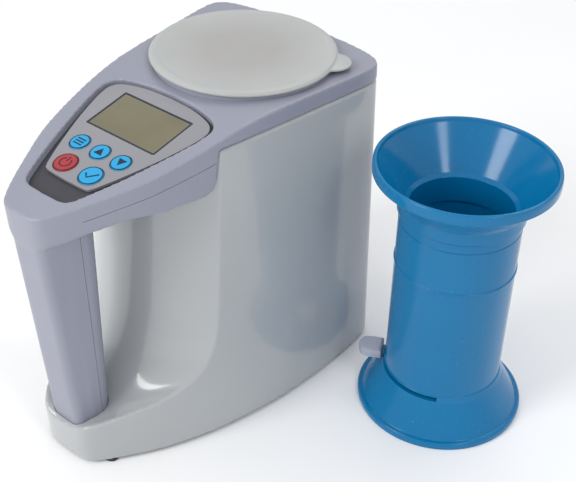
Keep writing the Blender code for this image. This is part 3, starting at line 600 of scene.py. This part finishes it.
def srgb(red, green, blue):
    """Linear colour from 0-255 sRGB values."""
    return tuple(((v / 255 + 0.055) / 1.055) ** 2.4 if v > 10 else v / 255 / 12.92
                 for v in (red, green, blue))


def moulded(name, colour, roughness, grain=0.010, coat=0.0, variation=0.03, scuffs=0.10, **values):
    """Moulded plastic: faint flow shading, fine grain, rubbed edges, hairline scuffs and dust."""
    finish = Finish(name, Coat_Weight=coat, Coat_Roughness=0.06, IOR=1.47, **values)
    flow = finish.noise(9.0, 2.0)
    base = finish.mixed(finish.mapped(flow, 0.35, 0.65, 0, 1), scaled(colour, 1 - variation),
                        scaled(colour, 1 + variation))
    rubbed = finish.joined(finish.edges(), finish.mapped(finish.noise(140.0, 4.0), 0.40, 0.62, 0, 1),
                          operation="MULTIPLY")
    base = finish.mixed(finish.mapped(rubbed, 0, 1, 0, 0.35), base, scaled(colour, 1.25))
    dust = finish.mapped(finish.noise(900.0, 2.0), 0.70, 0.78, 0, 0.25)
    base = finish.mixed(dust, base, (0.55, 0.55, 0.53))
    finish.colour(base)
    hairlines = finish.noise(60.0, 6.0, ((30, 1.2, 6), (20, 35, 15)), 0.7)
    hairlines = finish.mapped(hairlines, 0.60, 0.72, 0, scuffs)
    smudges = finish.mapped(finish.noise(22.0, 5.0), 0.3, 0.7, roughness * 0.86, roughness * 1.18)
    finish.roughness(finish.joined(smudges, hairlines, finish.mapped(rubbed, 0, 1, 0, 0.12)))
    finish.bump(finish.noise(1500.0, 2.0), grain)
    finish.bump(finish.noise(35.0, 1.0), grain * 6, 0.35)
    return finish.material


def milky_plastic():
    """Soft translucent polyethylene of the lid, with painted light: paler towards the rim, where light
    shines through.
    """
    finish = Finish("milky_polyethylene", IOR=1.5, Subsurface_Weight=0.25, Subsurface_Scale=0.004,
                    Coat_Weight=0.10, Coat_Roughness=0.25)
    cloud = finish.mapped(finish.noise(14.0, 4.0), 0.3, 0.7, 0, 1)
    middle, rim = [finish.mixed(cloud, scaled(colour, 0.96), scaled(colour, 1.04))
                   for colour in (srgb(161, 160, 158), srgb(172, 174, 173))]
    # Painted light: the colour is blended paler towards the lid's rim, standing in for light shining
    # through its thin edge.
    lid_middle = (-MID_X * MM, -MID_Y * MM, LID_TOP * MM)
    painted_rim_light = finish.mapped(finish.distance(lid_middle), 0.025, 0.060, 0, 1)
    base = finish.mixed(painted_rim_light, middle, rim)
    dust = finish.mapped(finish.noise(700.0, 2.0), 0.68, 0.78, 0, 0.25)
    finish.colour(finish.mixed(dust, base, (0.45, 0.44, 0.42)))
    streaks = finish.noise(40.0, 6.0, ((1.5, 22, 8), (0, 0, 40)), 0.7)
    streaks = finish.mapped(streaks, 0.5, 0.72, 0, 0.14)
    smudges = finish.mapped(finish.noise(18.0, 5.0), 0.3, 0.7, 0.38, 0.50)
    finish.roughness(finish.joined(smudges, streaks))
    finish.bump(finish.noise(900.0, 2.0), 0.012)
    finish.bump(finish.noise(24.0, 2.0), 0.10, 0.35)
    return finish.material


def metal(name, colour, roughness, stretch):
    """Turned or drawn metal with tool marks along one direction and faint tarnish."""
    finish = Finish(name, Metallic=1.0)
    marks = finish.noise(300.0, 5.0, (stretch, (0, 0, 0)))
    tarnish = finish.noise(30.0, 4.0)
    finish.colour(finish.mixed(finish.mapped(tarnish, 0.4, 0.7, 0, 1), colour, scaled(colour, 0.82)))
    finish.roughness(finish.joined(finish.mapped(marks, 0.3, 0.7, roughness * 0.7, roughness * 1.3),
                                  finish.mapped(tarnish, 0.4, 0.7, 0, 0.08)))
    finish.bump(marks, 0.02)
    return finish.material


def rubber():
    finish = Finish("black_rubber")
    grain = finish.noise(1300.0, 3.0)
    dust = finish.mapped(finish.noise(220.0, 5.0), 0.45, 0.7, 0, 0.5)
    finish.colour(finish.mixed(dust, (0.03, 0.03, 0.03), (0.10, 0.095, 0.09)))
    finish.roughness(finish.mapped(grain, 0.3, 0.7, 0.7, 0.9))
    finish.bump(grain, 0.05)
    return finish.material


def circuit_board():
    """Green solder mask with lighter copper tracks under it and pale pads."""
    finish = Finish("circuit_board", Coat_Weight=0.3, Coat_Roughness=0.2)
    bricks = finish.node("ShaderNodeTexBrick", offset=0.35, squash=1.4, squash_frequency=3)
    for socket, value in (("Scale", 260.0), ("Mortar Size", 0.05), ("Brick Width", 1.7),
                          ("Row Height", 0.45)):
        bricks.inputs[socket].default_value = value
    finish.link(finish.place, bricks.inputs["Vector"])
    tracks = bricks.outputs["Fac"]
    cells = finish.node("ShaderNodeTexVoronoi")
    cells.inputs["Scale"].default_value = 330.0
    finish.link(finish.place, cells.inputs["Vector"])
    pads = finish.mapped(cells.outputs["Distance"], 0.20, 0.24, 1.0, 0.0)
    picked = finish.mapped(finish.noise(120.0, 1.0), 0.56, 0.60, 0, 1)
    base = finish.mixed(tracks, (0.015, 0.13, 0.05), (0.03, 0.22, 0.09))
    pads = finish.joined(pads, picked, operation="MULTIPLY")
    finish.colour(finish.mixed(pads, base, (0.55, 0.56, 0.54)))
    finish.roughness(finish.mapped(finish.noise(90.0, 3.0), 0.3, 0.7, 0.35, 0.55))
    finish.bump(tracks, 0.03)
    return finish.material


def display_glass():
    """The liquid-crystal display behind its window: grey-green; its darker border is painted shade, a
    separate dark strip laid on the glass.
    """
    finish = Finish("lcd_window", IOR=1.49, Coat_Weight=0.5, Coat_Roughness=0.03, Roughness=0.18)
    cells = finish.node("ShaderNodeTexChecker")
    cells.inputs["Scale"].default_value = 1500.0
    finish.link(finish.place, cells.inputs["Vector"])
    cloud = finish.mapped(finish.noise(22.0, 2.0), 0.35, 0.65, 0, 1)
    base = finish.mixed(cloud, srgb(105, 100, 74), srgb(115, 110, 84))
    cells = finish.mapped(cells.outputs["Fac"], 0, 1, 0, 0.06)
    finish.colour(finish.mixed(cells, base, srgb(93, 91, 74)))
    finish.roughness(finish.mapped(finish.noise(60.0, 4.0), 0.3, 0.7, 0.12, 0.24))
    finish.bump(finish.noise(1200.0, 2.0), 0.003)
    return finish.material


def printed_film(name, colour):
    """Polyester film of the keypad with its fine matt grain and a faint metallic flake."""
    finish = Finish(name, IOR=1.5, Metallic=0.15)
    flake = finish.mapped(finish.noise(2600.0, 2.0), 0.55, 0.75, 0, 0.25)
    cloud = finish.mapped(finish.noise(12.0, 2.0), 0.35, 0.65, 0, 1)
    base = finish.mixed(cloud, scaled(colour, 0.97), scaled(colour, 1.03))
    finish.colour(finish.mixed(flake, base, scaled(colour, 1.35)))
    finish.roughness(finish.mapped(finish.noise(45.0, 5.0), 0.3, 0.7, 0.32, 0.46))
    finish.bump(finish.noise(2200.0, 2.0), 0.008)
    finish.bump(finish.noise(30.0, 1.0), 0.06, 0.4)
    return finish.material


def battery_sleeve():
    """Plain shrink sleeve in two tones, split along the cell's length."""
    finish = Finish("battery_sleeve", Metallic=0.35, Coat_Weight=0.6, Coat_Roughness=0.12)
    split = finish.node("ShaderNodeSeparateXYZ")
    finish.link(finish.place, split.inputs["Vector"])
    band = finish.mapped(split.outputs["Y"], -0.050, -0.049, 0, 1)
    base = finish.mixed(band, (0.03, 0.03, 0.035), (0.42, 0.30, 0.14))
    wear = finish.mapped(finish.noise(180.0, 5.0), 0.62, 0.75, 0, 0.4)
    finish.colour(finish.mixed(wear, base, (0.5, 0.5, 0.5)))
    finish.roughness(finish.mapped(finish.noise(70.0, 4.0), 0.3, 0.7, 0.22, 0.4))
    finish.bump(finish.noise(400.0, 3.0), 0.02)
    return finish.material


PEARL = moulded("pearl_white_abs", srgb(168, 171, 173), 0.20, coat=0.6)
LILAC = moulded("lilac_grey_abs", srgb(141, 143, 157), 0.36, grain=0.014, coat=0.1)
LID = milky_plastic()
TRAY = moulded("dark_grey_tray", srgb(56, 56, 62), 0.34, grain=0.02)
FILM = printed_film("silver_keypad_film", srgb(142, 142, 147))
DISPLAY = display_glass()
KEY_BLUE = moulded("key_blue_silicone", srgb(24, 153, 205), 0.36, grain=0.012)
KEY_RED = moulded("key_red_silicone", srgb(158, 50, 56), 0.36, grain=0.012)
# Dark ink for the key prints; the same material also paints the shade band inside the display window.
INK_AND_SHADE = moulded("key_ink", srgb(16, 30, 58), 0.42, grain=0.006)
INK_RED = moulded("key_ink_dark_red", srgb(88, 18, 26), 0.42, grain=0.006)
CUP_BLUE = moulded("cup_blue_polypropylene", srgb(0, 110, 161), 0.15, Specular_IOR_Level=0.42)
LEVER = moulded("lever_white_nylon", srgb(162, 166, 182), 0.42, Subsurface_Weight=0.1,
                Subsurface_Scale=0.002)
INNER = moulded("inner_white_plastic", (0.62, 0.62, 0.60), 0.45)
DARK = moulded("dark_plastic", (0.05, 0.05, 0.055), 0.5, grain=0.03)
STEEL = metal("zinc_plated_steel", (0.55, 0.56, 0.58), 0.30, (6, 6, 60))
ALUMINIUM = metal("turned_aluminium", (0.66, 0.67, 0.69), 0.32, (1, 1, 80))
BOARD = circuit_board()
RUBBER = rubber()
SLEEVE = battery_sleeve()

CAD_FINISHES = {
    "base_plate": DARK, "battery_door": DARK, "cell_base": INNER, "outer_electrode": ALUMINIUM,
    "centre_electrode": ALUMINIUM, "load_cell": ALUMINIUM, "load_cell_screw": STEEL,
    "temperature_probe": STEEL, "main_board": BOARD, "key_board": BOARD, "lcd_module": DISPLAY,
    "display_ribbon": INNER, "gate_pivot": STEEL, "gate_seat": CUP_BLUE, "gate_shutter": CUP_BLUE,
}
GROUP_FINISHES = {
    "rubber_foot": RUBBER, "base_screw": STEEL, "battery": SLEEVE, "contact": STEEL, "switch": DARK,
}


def paint_cad_nodes():
    """Paints the CAD nodes that stay visible; a node's own finish goes before its group's."""
    for name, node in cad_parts.items():
        finish = CAD_FINISHES.get(name)
        for group, shared in GROUP_FINISHES.items():
            if not finish and name.startswith(group):
                finish = shared
        if finish:
            node.data.materials.clear()
            node.data.materials.append(finish)

# ---------------------------------------------------------------- casing, cover and handle


def near(value, low, high):
    """1 between low and high, fading to 0 over the same distance outside them."""
    width = (high - low) / 2
    middle = (high + low) / 2
    return np.clip(2 - np.abs(value - middle) / width, 0, 1)


def casing():
    body = hull(low=BODY_BOTTOM, high=BODY_TOP)
    body = cut(body, hand_space())
    body = cut(body, arm_zone())
    body = soften(remeshed(body, CASING_VOXEL), CASING_PASSES)
    room = cut(hull(BODY_WALL, steps=ROUGH_STEPS), hand_space(BODY_WALL, 1, 13))
    body = cut(body, room, post(-POST_SOCKET_GAP, low=-10))
    place("casing_shell", body, PEARL, "meter", ["main_shell"], sharp=40)


def rear_half_zone(grow):
    """The back of the post and the floor of the arm, between the cover's side walls."""
    top = ARM_UNDER + GAP + COVER_WALL + 0.1 + grow
    seam = POST_SEAM - grow
    line = [(seam, HULL_LOW), (seam - 3, 186), (seam + 4, 197), (-158, top), (-60, top),
            (-60, HULL_LOW)]
    return combine("INTERSECT", hull(COVER_WALL + GAP - grow, low=-40), side_prism(line, BROAD))


def parting_groove():
    """A hair-fine groove along the arm's sides, where the mould's halves met."""
    band = [(y, z + PARTING_HALF) for y, z in PARTING_LINE]
    band += [(y, z - PARTING_HALF) for y, z in reversed(PARTING_LINE)]
    return cut(side_prism(band, BROAD), hull(PARTING_DEPTH, steps=ROUGH_STEPS))


def junction(points):
    """1 where the post flows into the arm, fading to 0 around it."""
    return near(points[:, 2], *JUNCTION_Z) * near(points[:, 1], *JUNCTION_Y)


def cover_and_handle():
    outer = cut(hull(low=150), above_top(), below_cover())
    outer = combine("UNION", outer, post())
    recess = moved(prism(panel_outline(), -PANEL_DEPTH, 40), PANEL)
    outer = cut(outer, recess)
    outer = soften(remeshed(outer, COVER_VOXEL), COVER_PASSES)
    outer = cut(soften(outer, JUNCTION_PASSES, junction), parting_groove())
    room = cut(hull(COVER_WALL, low=120, steps=ROUGH_STEPS), above_top(COVER_WALL))
    level = len(ARM_NOSE) + 1
    floor_line = [(y, z + COVER_WALL) for y, z in arm_line(GAP)[:level]]
    floor_line += [(SLOPE_END, ARM_UNDER + GAP + COVER_WALL), (SLOPE_END, 0), (FRONT, 0)]
    tub = prism(panel_outline(-COVER_WALL, 1), -PANEL_DEPTH - COVER_WALL, 40)
    room = cut(room, side_prism(floor_line, BROAD), moved(tub, PANEL))
    shell = cut(outer, room, post(COVER_WALL, low=0, high=POST_TOP - 1))
    back = combine("INTERSECT", shell.copy(), rear_half_zone(0.0))
    back = combine("INTERSECT", back, hand_space(BODY_WALL, 2, 17))
    cover = cut(shell, rear_half_zone(GAP), moved(lcd_window(0.5, -20, 20), PANEL),
                *[moved(hole, PANEL) for hole in key_holes(0.5, -20, 20)],
                cylinder(MOUTH_HOLE_R, 200, 270, segments=144))
    place("cover_shell", cover, LILAC, "meter", ["top_cover"], sharp=40)
    place("handle_rear_shell", back, LILAC, "meter", ["handle_back_cover"], sharp=40)


def mouth():
    profile = filleted([
        (COLLAR_R, COLLAR_TOP, 0.5), (COLLAR_R, 229.4), (62.4, 228.3), (62.4, 224.5),
        (44.0, 206.6, 0.6), (41.5, 206.6, 0.6), (41.5, 208.6, 2), (58.0, 231.6, 2),
        (58.0, SEAT_Z, 0.5), (SEAT_R, SEAT_Z, 0.6), (SEAT_R, COLLAR_TOP, 0.5)])
    place("mouth_funnel", turned(profile), LILAC, "meter", ["mouth_ring"])


def lid_tab():
    """Round thumb tab on the lid's rim, with a hollow fillet on either side."""
    centre = Vector((LID_TAB_CENTRE, 0))
    reach = LID_R + LID_TAB_FILLET
    spread = LID_TAB_R + LID_TAB_FILLET
    along = (reach ** 2 - spread ** 2 + centre.x ** 2) / (2 * centre.x)
    hollow = Vector((along, math.sqrt(reach ** 2 - along ** 2)))
    toward_tab = math.degrees(math.atan2(*reversed(centre - hollow)))
    toward_lid = math.degrees(math.atan2(*reversed(-hollow)))
    side = arc(hollow, LID_TAB_FILLET, toward_tab, toward_lid, 10)
    edge = math.degrees(math.atan2(*reversed(hollow - centre)))
    outline = [(x, -y) for x, y in reversed(side)]
    outline += arc(centre, LID_TAB_R, -edge, edge, 48)[1:-1] + side
    return outline + [(0.95 * side[-1][0], 0.95 * y) for y in (side[-1][1], -side[-1][1])]


def lid():
    skirt_r = SEAT_R - 0.4
    profile = [
        (0, LID_TOP), (20, LID_TOP), (40, 245.7), (54, 245.4), (58, 245.5, 2), (60.5, 246.0, 2),
        (63.4, 245.7, 1.4), (LID_R, 244.3, 0.8), (LID_R, 243.2, 0.4), (64.4, LID_FLANGE_Z, 0.3),
        (skirt_r, LID_FLANGE_Z, 0.3), (skirt_r, 236.6, 0.4), (59.4, 236.6, 0.4), (59.4, 243.0, 1),
        (57, 243.6), (40, 243.9), (0, 244.0)]
    rings = [(LID_FLANGE_Z + 0.1, 0.4), (243.2, 0.0), (244.1, 0.0), (244.45, 0.15), (244.6, 0.5)]
    tab = loft([[(x, y, z) for x, y in shifted(lid_tab(), inward, True)] for z, inward in rings])
    tab = moved(tab, Matrix.Rotation(math.radians(LID_TAB_ANGLE), 4, "Z"))
    disc = turned(filleted(profile, steps=4))
    place("lid_disc", merged(disc, tab), LID, "lid", ["lid"], sharp=50)

# ---------------------------------------------------------------- control panel


def panel():
    under = OVERLAY_TOP - OVERLAY_THICKNESS
    tray = prism(panel_outline(GAP), -PANEL_DEPTH + GAP, TRAY_TOP)
    tray = cut(tray, lcd_window(-1.5, -10, 10), *key_holes(0.4, -10, 10))
    place("panel_floor", moved(tray, PANEL), TRAY, "meter", ["panel_tray"], sharp=30)
    outline = mirrored_outline(spline(OVERLAY_OUTLINE[::-1], 6))
    sheet = loft([[(x, y, z) for x, y in shifted(outline, inward, True)]
                  for z, inward in ((under, 0.0), (OVERLAY_TOP - 0.12, 0.0), (OVERLAY_TOP, 0.12))])
    sheet = cut(sheet, lcd_window(GAP, -10, 10), *key_holes(0.4, -10, 10))
    place("keypad_film", moved(sheet, PANEL), FILM, "meter", ["keypad_overlay"],
          sharp=25)
    half_x, half_y = LCD_SIZE[0] / 2, LCD_SIZE[1] / 2
    glass = OVERLAY_TOP - LCD_SINK
    window = loft([[(x, y, z) for x, y in rounded_box(half_x - g, half_y - g, LCD_Y, 1.0)]
                   for z, g in ((under, 0.0), (glass - 0.15, 0.0), (glass, 0.15))])
    place("display_window", moved(window, PANEL), DISPLAY, "meter", ["lcd_lens"], sharp=25)
    # Painted shade: a thin dark strip just inside the window's edge stands in for the window's inner
    # shadow on the display.
    outer, inner = WINDOW_SHADE_BAND
    border = prism(rounded_box(half_x - outer, half_y - outer, LCD_Y, 0.9), glass + 0.02, glass + 0.1)
    border = cut(border, prism(rounded_box(half_x - inner, half_y - inner, LCD_Y, 0.6), -10, 10))
    place("display_edge_shade", moved(border, PANEL), INK_AND_SHADE, "meter", sharp=25)


def symbol(name):
    """The icon printed on a key, about the key's middle."""
    low, high = KEY_TOP - PRINT_SINK, KEY_TOP + PRINT_RISE
    if name == "key_up":
        return prism([(-3.4, -2.6), (3.4, -2.6), (0, 3.4)], low, high)
    if name == "key_down":
        return prism([(-3.4, 2.6), (0, -3.4), (3.4, 2.6)], low, high)
    if name == "key_menu":
        bars = [strip([(-3.6, y), (3.6, y)], 1.0, low, high) for y in (-2.3, 0, 2.3)]
        return merged(*bars)
    if name == "key_ok":
        return strip([(-4.2, 0.2), (-1.2, -2.8), (4.4, 3.2)], 1.2, low, high)
    ring = strip(arc((0, 0), 3.9, 122, 418, 30), 1.0, low, high)
    return merged(ring, strip([(0, 0.8), (0, 5.0)], 1.0, low, high))


def keys():
    for name, (x, y, radius) in KEYS.items():
        flange = radius + KEY_FLANGE
        profile = filleted([
            (0, 0), (radius * 0.6, 0.03), (radius - 0.7, 0.12, 0.8), (radius, 0.9, 0.5), (radius, 7.3),
            (flange, 7.3), (flange, 8.2), (KEY_STEM_R, 8.2), (KEY_STEM_R, 9.6), (0, 9.6)], steps=4)
        cap = turned([(r, KEY_TOP - depth) for r, depth in profile], 64, (x, y))
        red = name == "key_power"
        finish, ink, slot = (KEY_RED, INK_RED, "key_red") if red else (KEY_BLUE, INK_AND_SHADE, "key_blue")
        place(name + "_cap", moved(cap, PANEL), finish, name, [name])
        ring = strip(arc((0, 0), radius - RING_INSET, 0, 357, 119), RING_WIDTH, KEY_TOP - RING_WIDTH,
                     KEY_TOP, closed=True)
        mark = moved(merged(symbol(name), ring), PANEL @ Matrix.Translation((x, y, 0)))
        place(name + "_print", mark, ink, name, sharp=25)

# ---------------------------------------------------------------- filling cup


def cup_parts():
    funnel = filleted([
        (60.6, CUP_TOP, 0.5), (CUP_RIM_R - 0.3, CUP_TOP - 0.5, 0.9), (CUP_RIM_R, 202.0, 1.0),
        (CUP_RIM_R, 197.0, 0.9), (61.0, 195.8, 0.8), (59.0, 195.4, 2.0), (46.4, 181.6, 3),
        (44.2, 178.0, 2), (43.9, 174.0), (43.9, 169.0, 0.6), (43.0, 168.0, 0.5), (41.8, 168.0),
        (41.8, BARREL_TOP + 0.2), (BARREL_BORE_R - GAP, BARREL_TOP + 0.2),
        (BARREL_BORE_R - GAP, SPIGOT_BOTTOM), (36.0, SPIGOT_BOTTOM, 0.5), (36.0, 170.2, 0.3),
        (38.8, 172.4, 0.5), (58.8, 201.8, 1.6), (59.5, CUP_TOP - 0.6, 0.8)], steps=4)
    place("funnel_shell", turned(funnel, 176), CUP_BLUE, "cup", ["cup_funnel"], cup=True)
    barrel = filleted([
        (BARREL_R - 0.2, BARREL_TOP, 0.3), (BARREL_R, BARREL_TOP - 0.6, 0.3), (BARREL_R, 127.6, 0.4),
        (BARREL_R + 0.7, 127.1, 0.4), (BARREL_R + 0.7, 126.0, 0.4), (BARREL_R, 125.4, 0.4),
        (BARREL_R + 0.1, 34.3, 0.3), (43.0, 33.8, 0.3), (43.5, 32.0, 1.0), (44.4, 29.4, 2),
        (47.4, 23.4, 3), (52.0, 15.0, 3), (56.8, 7.0, 1.0), (57.8, 5.4, 0.6), (58.8, 5.5, 0.5),
        (60.2, 5.0, 0.9), (CUP_FOOT_R, 3.6, 0.8), (CUP_FOOT_R, 0, 0.9), (58.8, 0, 0.5),
        (58.2, 2.0, 0.8), (55.4, 4.9, 1), (49.8, 14.0, 2), (45.0, 22.4, 2), (41.8, 28.0),
        (GATE_BORE_R, 28.6), (GATE_BORE_R, GATE_LEDGE_Z), (BARREL_BORE_R, GATE_LEDGE_Z),
        (BARREL_BORE_R, BARREL_TOP, 0.4)], steps=4)
    body = turned(barrel, 176)
    neck_angle = math.degrees(LEVER_NECK / 2 / BARREL_R) + 0.8
    start, end = LEVER_ANGLE - neck_angle, LEVER_ANGLE + LEVER_TRAVEL + neck_angle
    slot = prism(arc((0, 0), 50, start, end, 60) + arc((0, 0), 36, end, start, 60), 30.2, 33.4)
    body = cut(body, slot)
    place("barrel_shell", body, CUP_BLUE, "cup", ["cup_barrel"], cup=True)


def lever():
    outline = filleted([(44.8, -8.4, 0.6), (52, -8.9, 4), (60, -7.6, 5), (63.1, 0, 7), (60, 7.6, 5),
                        (52, 8.9, 4), (44.8, 8.4, 0.6)])
    rings = [(0.9, 30.3), (0.25, 30.6), (0.0, 31.3), (0.0, 35.6), (0.3, 36.5), (0.9, 37.0), (1.8, 37.2)]
    knob = loft([[(x, y, z) for x, y in shifted(outline, inward, True)] for inward, z in rings])
    half = LEVER_NECK / 2 + GAP
    knob = cut(knob, box((40, 53.3), (-half, half), (30.9, 33.3)))
    knob = moved(knob, Matrix.Rotation(math.radians(LEVER_ANGLE), 4, "Z"))
    place("lever_knob", knob, LEVER, "gate", ["gate_lever"], sharp=40, cup=True)

# ---------------------------------------------------------------- floor, light and camera

TARGET = Vector((0.0010, 0.0156, 0.1362))
AZIMUTH, ELEVATION, ROLL = 39.44, 36.10, 1.22
DISTANCE = 0.764
LENS, SENSOR = 69.10, 36.0
FLOOR_HALF, FLOOR_CELLS = 12.0, 24
WORLD_COLOUR, WORLD_STRENGTH = (0.97, 0.98, 1.0), 0.78
SOFTBOXES = {        # name: (azimuth, elevation, distance, size, power, colour)
    "key": (-20, 34, 1.7, (0.6, 0.9), 14, (1.0, 0.99, 0.97)),
    "fill": (75, 40, 2.0, (0.35, 0.6), 5, (0.95, 0.97, 1.0)),
    "rear": (190, 55, 1.8, (1.4, 0.6), 5, (1.0, 1.0, 1.0)),
}


def around(azimuth, elevation, distance):
    """A place at a distance from the target; azimuth 0 is in front of the handle."""
    a, e = math.radians(azimuth), math.radians(elevation)
    level = math.cos(e)
    return TARGET + distance * Vector((math.sin(a) * level, -math.cos(a) * level, math.sin(e)))


def toward_target(item):
    return (TARGET - item.location).to_track_quat("-Z", "Y")


def camera():
    data = bpy.data.cameras.new("camera")
    data.lens = LENS
    data.sensor_width = SENSOR
    item = bpy.data.objects.new("camera", data)
    item.location = around(AZIMUTH, ELEVATION, DISTANCE)
    item.rotation_mode = "QUATERNION"
    roll = Matrix.Rotation(math.radians(ROLL), 3, "Z").to_quaternion()
    item.rotation_quaternion = toward_target(item) @ roll
    bpy.context.scene.collection.objects.link(item)
    bpy.context.scene.camera = item


def softbox(name, azimuth, elevation, distance, size, power, colour):
    data = bpy.data.lights.new(name, "AREA")
    data.shape = "RECTANGLE"
    data.size, data.size_y = size
    data.energy = power
    data.color = colour
    item = bpy.data.objects.new(name, data)
    item.location = around(azimuth, elevation, distance)
    item.rotation_mode = "QUATERNION"
    item.rotation_quaternion = toward_target(item)
    bpy.context.scene.collection.objects.link(item)


def pale_floor():
    bm = bmesh.new()
    bmesh.ops.create_grid(bm, x_segments=FLOOR_CELLS, y_segments=FLOOR_CELLS, size=FLOOR_HALF)
    mesh = mesh_of(bm)
    finish = Finish("pale_floor", Roughness=0.7, Specular_IOR_Level=0.2)
    cloud = finish.mapped(finish.noise(1.5, 2.0), 0.3, 0.7, 0, 1)
    finish.colour(finish.mixed(cloud, (0.90, 0.90, 0.90), (0.94, 0.94, 0.94)))
    mesh.materials.append(finish.material)
    floor = bpy.data.objects.new("floor", mesh)
    bpy.context.scene.collection.objects.link(floor)


def studio():
    world = bpy.data.worlds.new("studio")
    world.use_nodes = True
    background = world.node_tree.nodes["Background"]
    background.inputs["Color"].default_value = (*WORLD_COLOUR, 1)
    background.inputs["Strength"].default_value = WORLD_STRENGTH
    bpy.context.scene.world = world
    for name, values in SOFTBOXES.items():
        softbox(name, *values)
    bpy.context.scene.view_settings.view_transform = "Standard"


paint_cad_nodes()
casing()
cover_and_handle()
mouth()
lid()
panel()
keys()
cup_parts()
lever()
camera()
pale_floor()
studio()
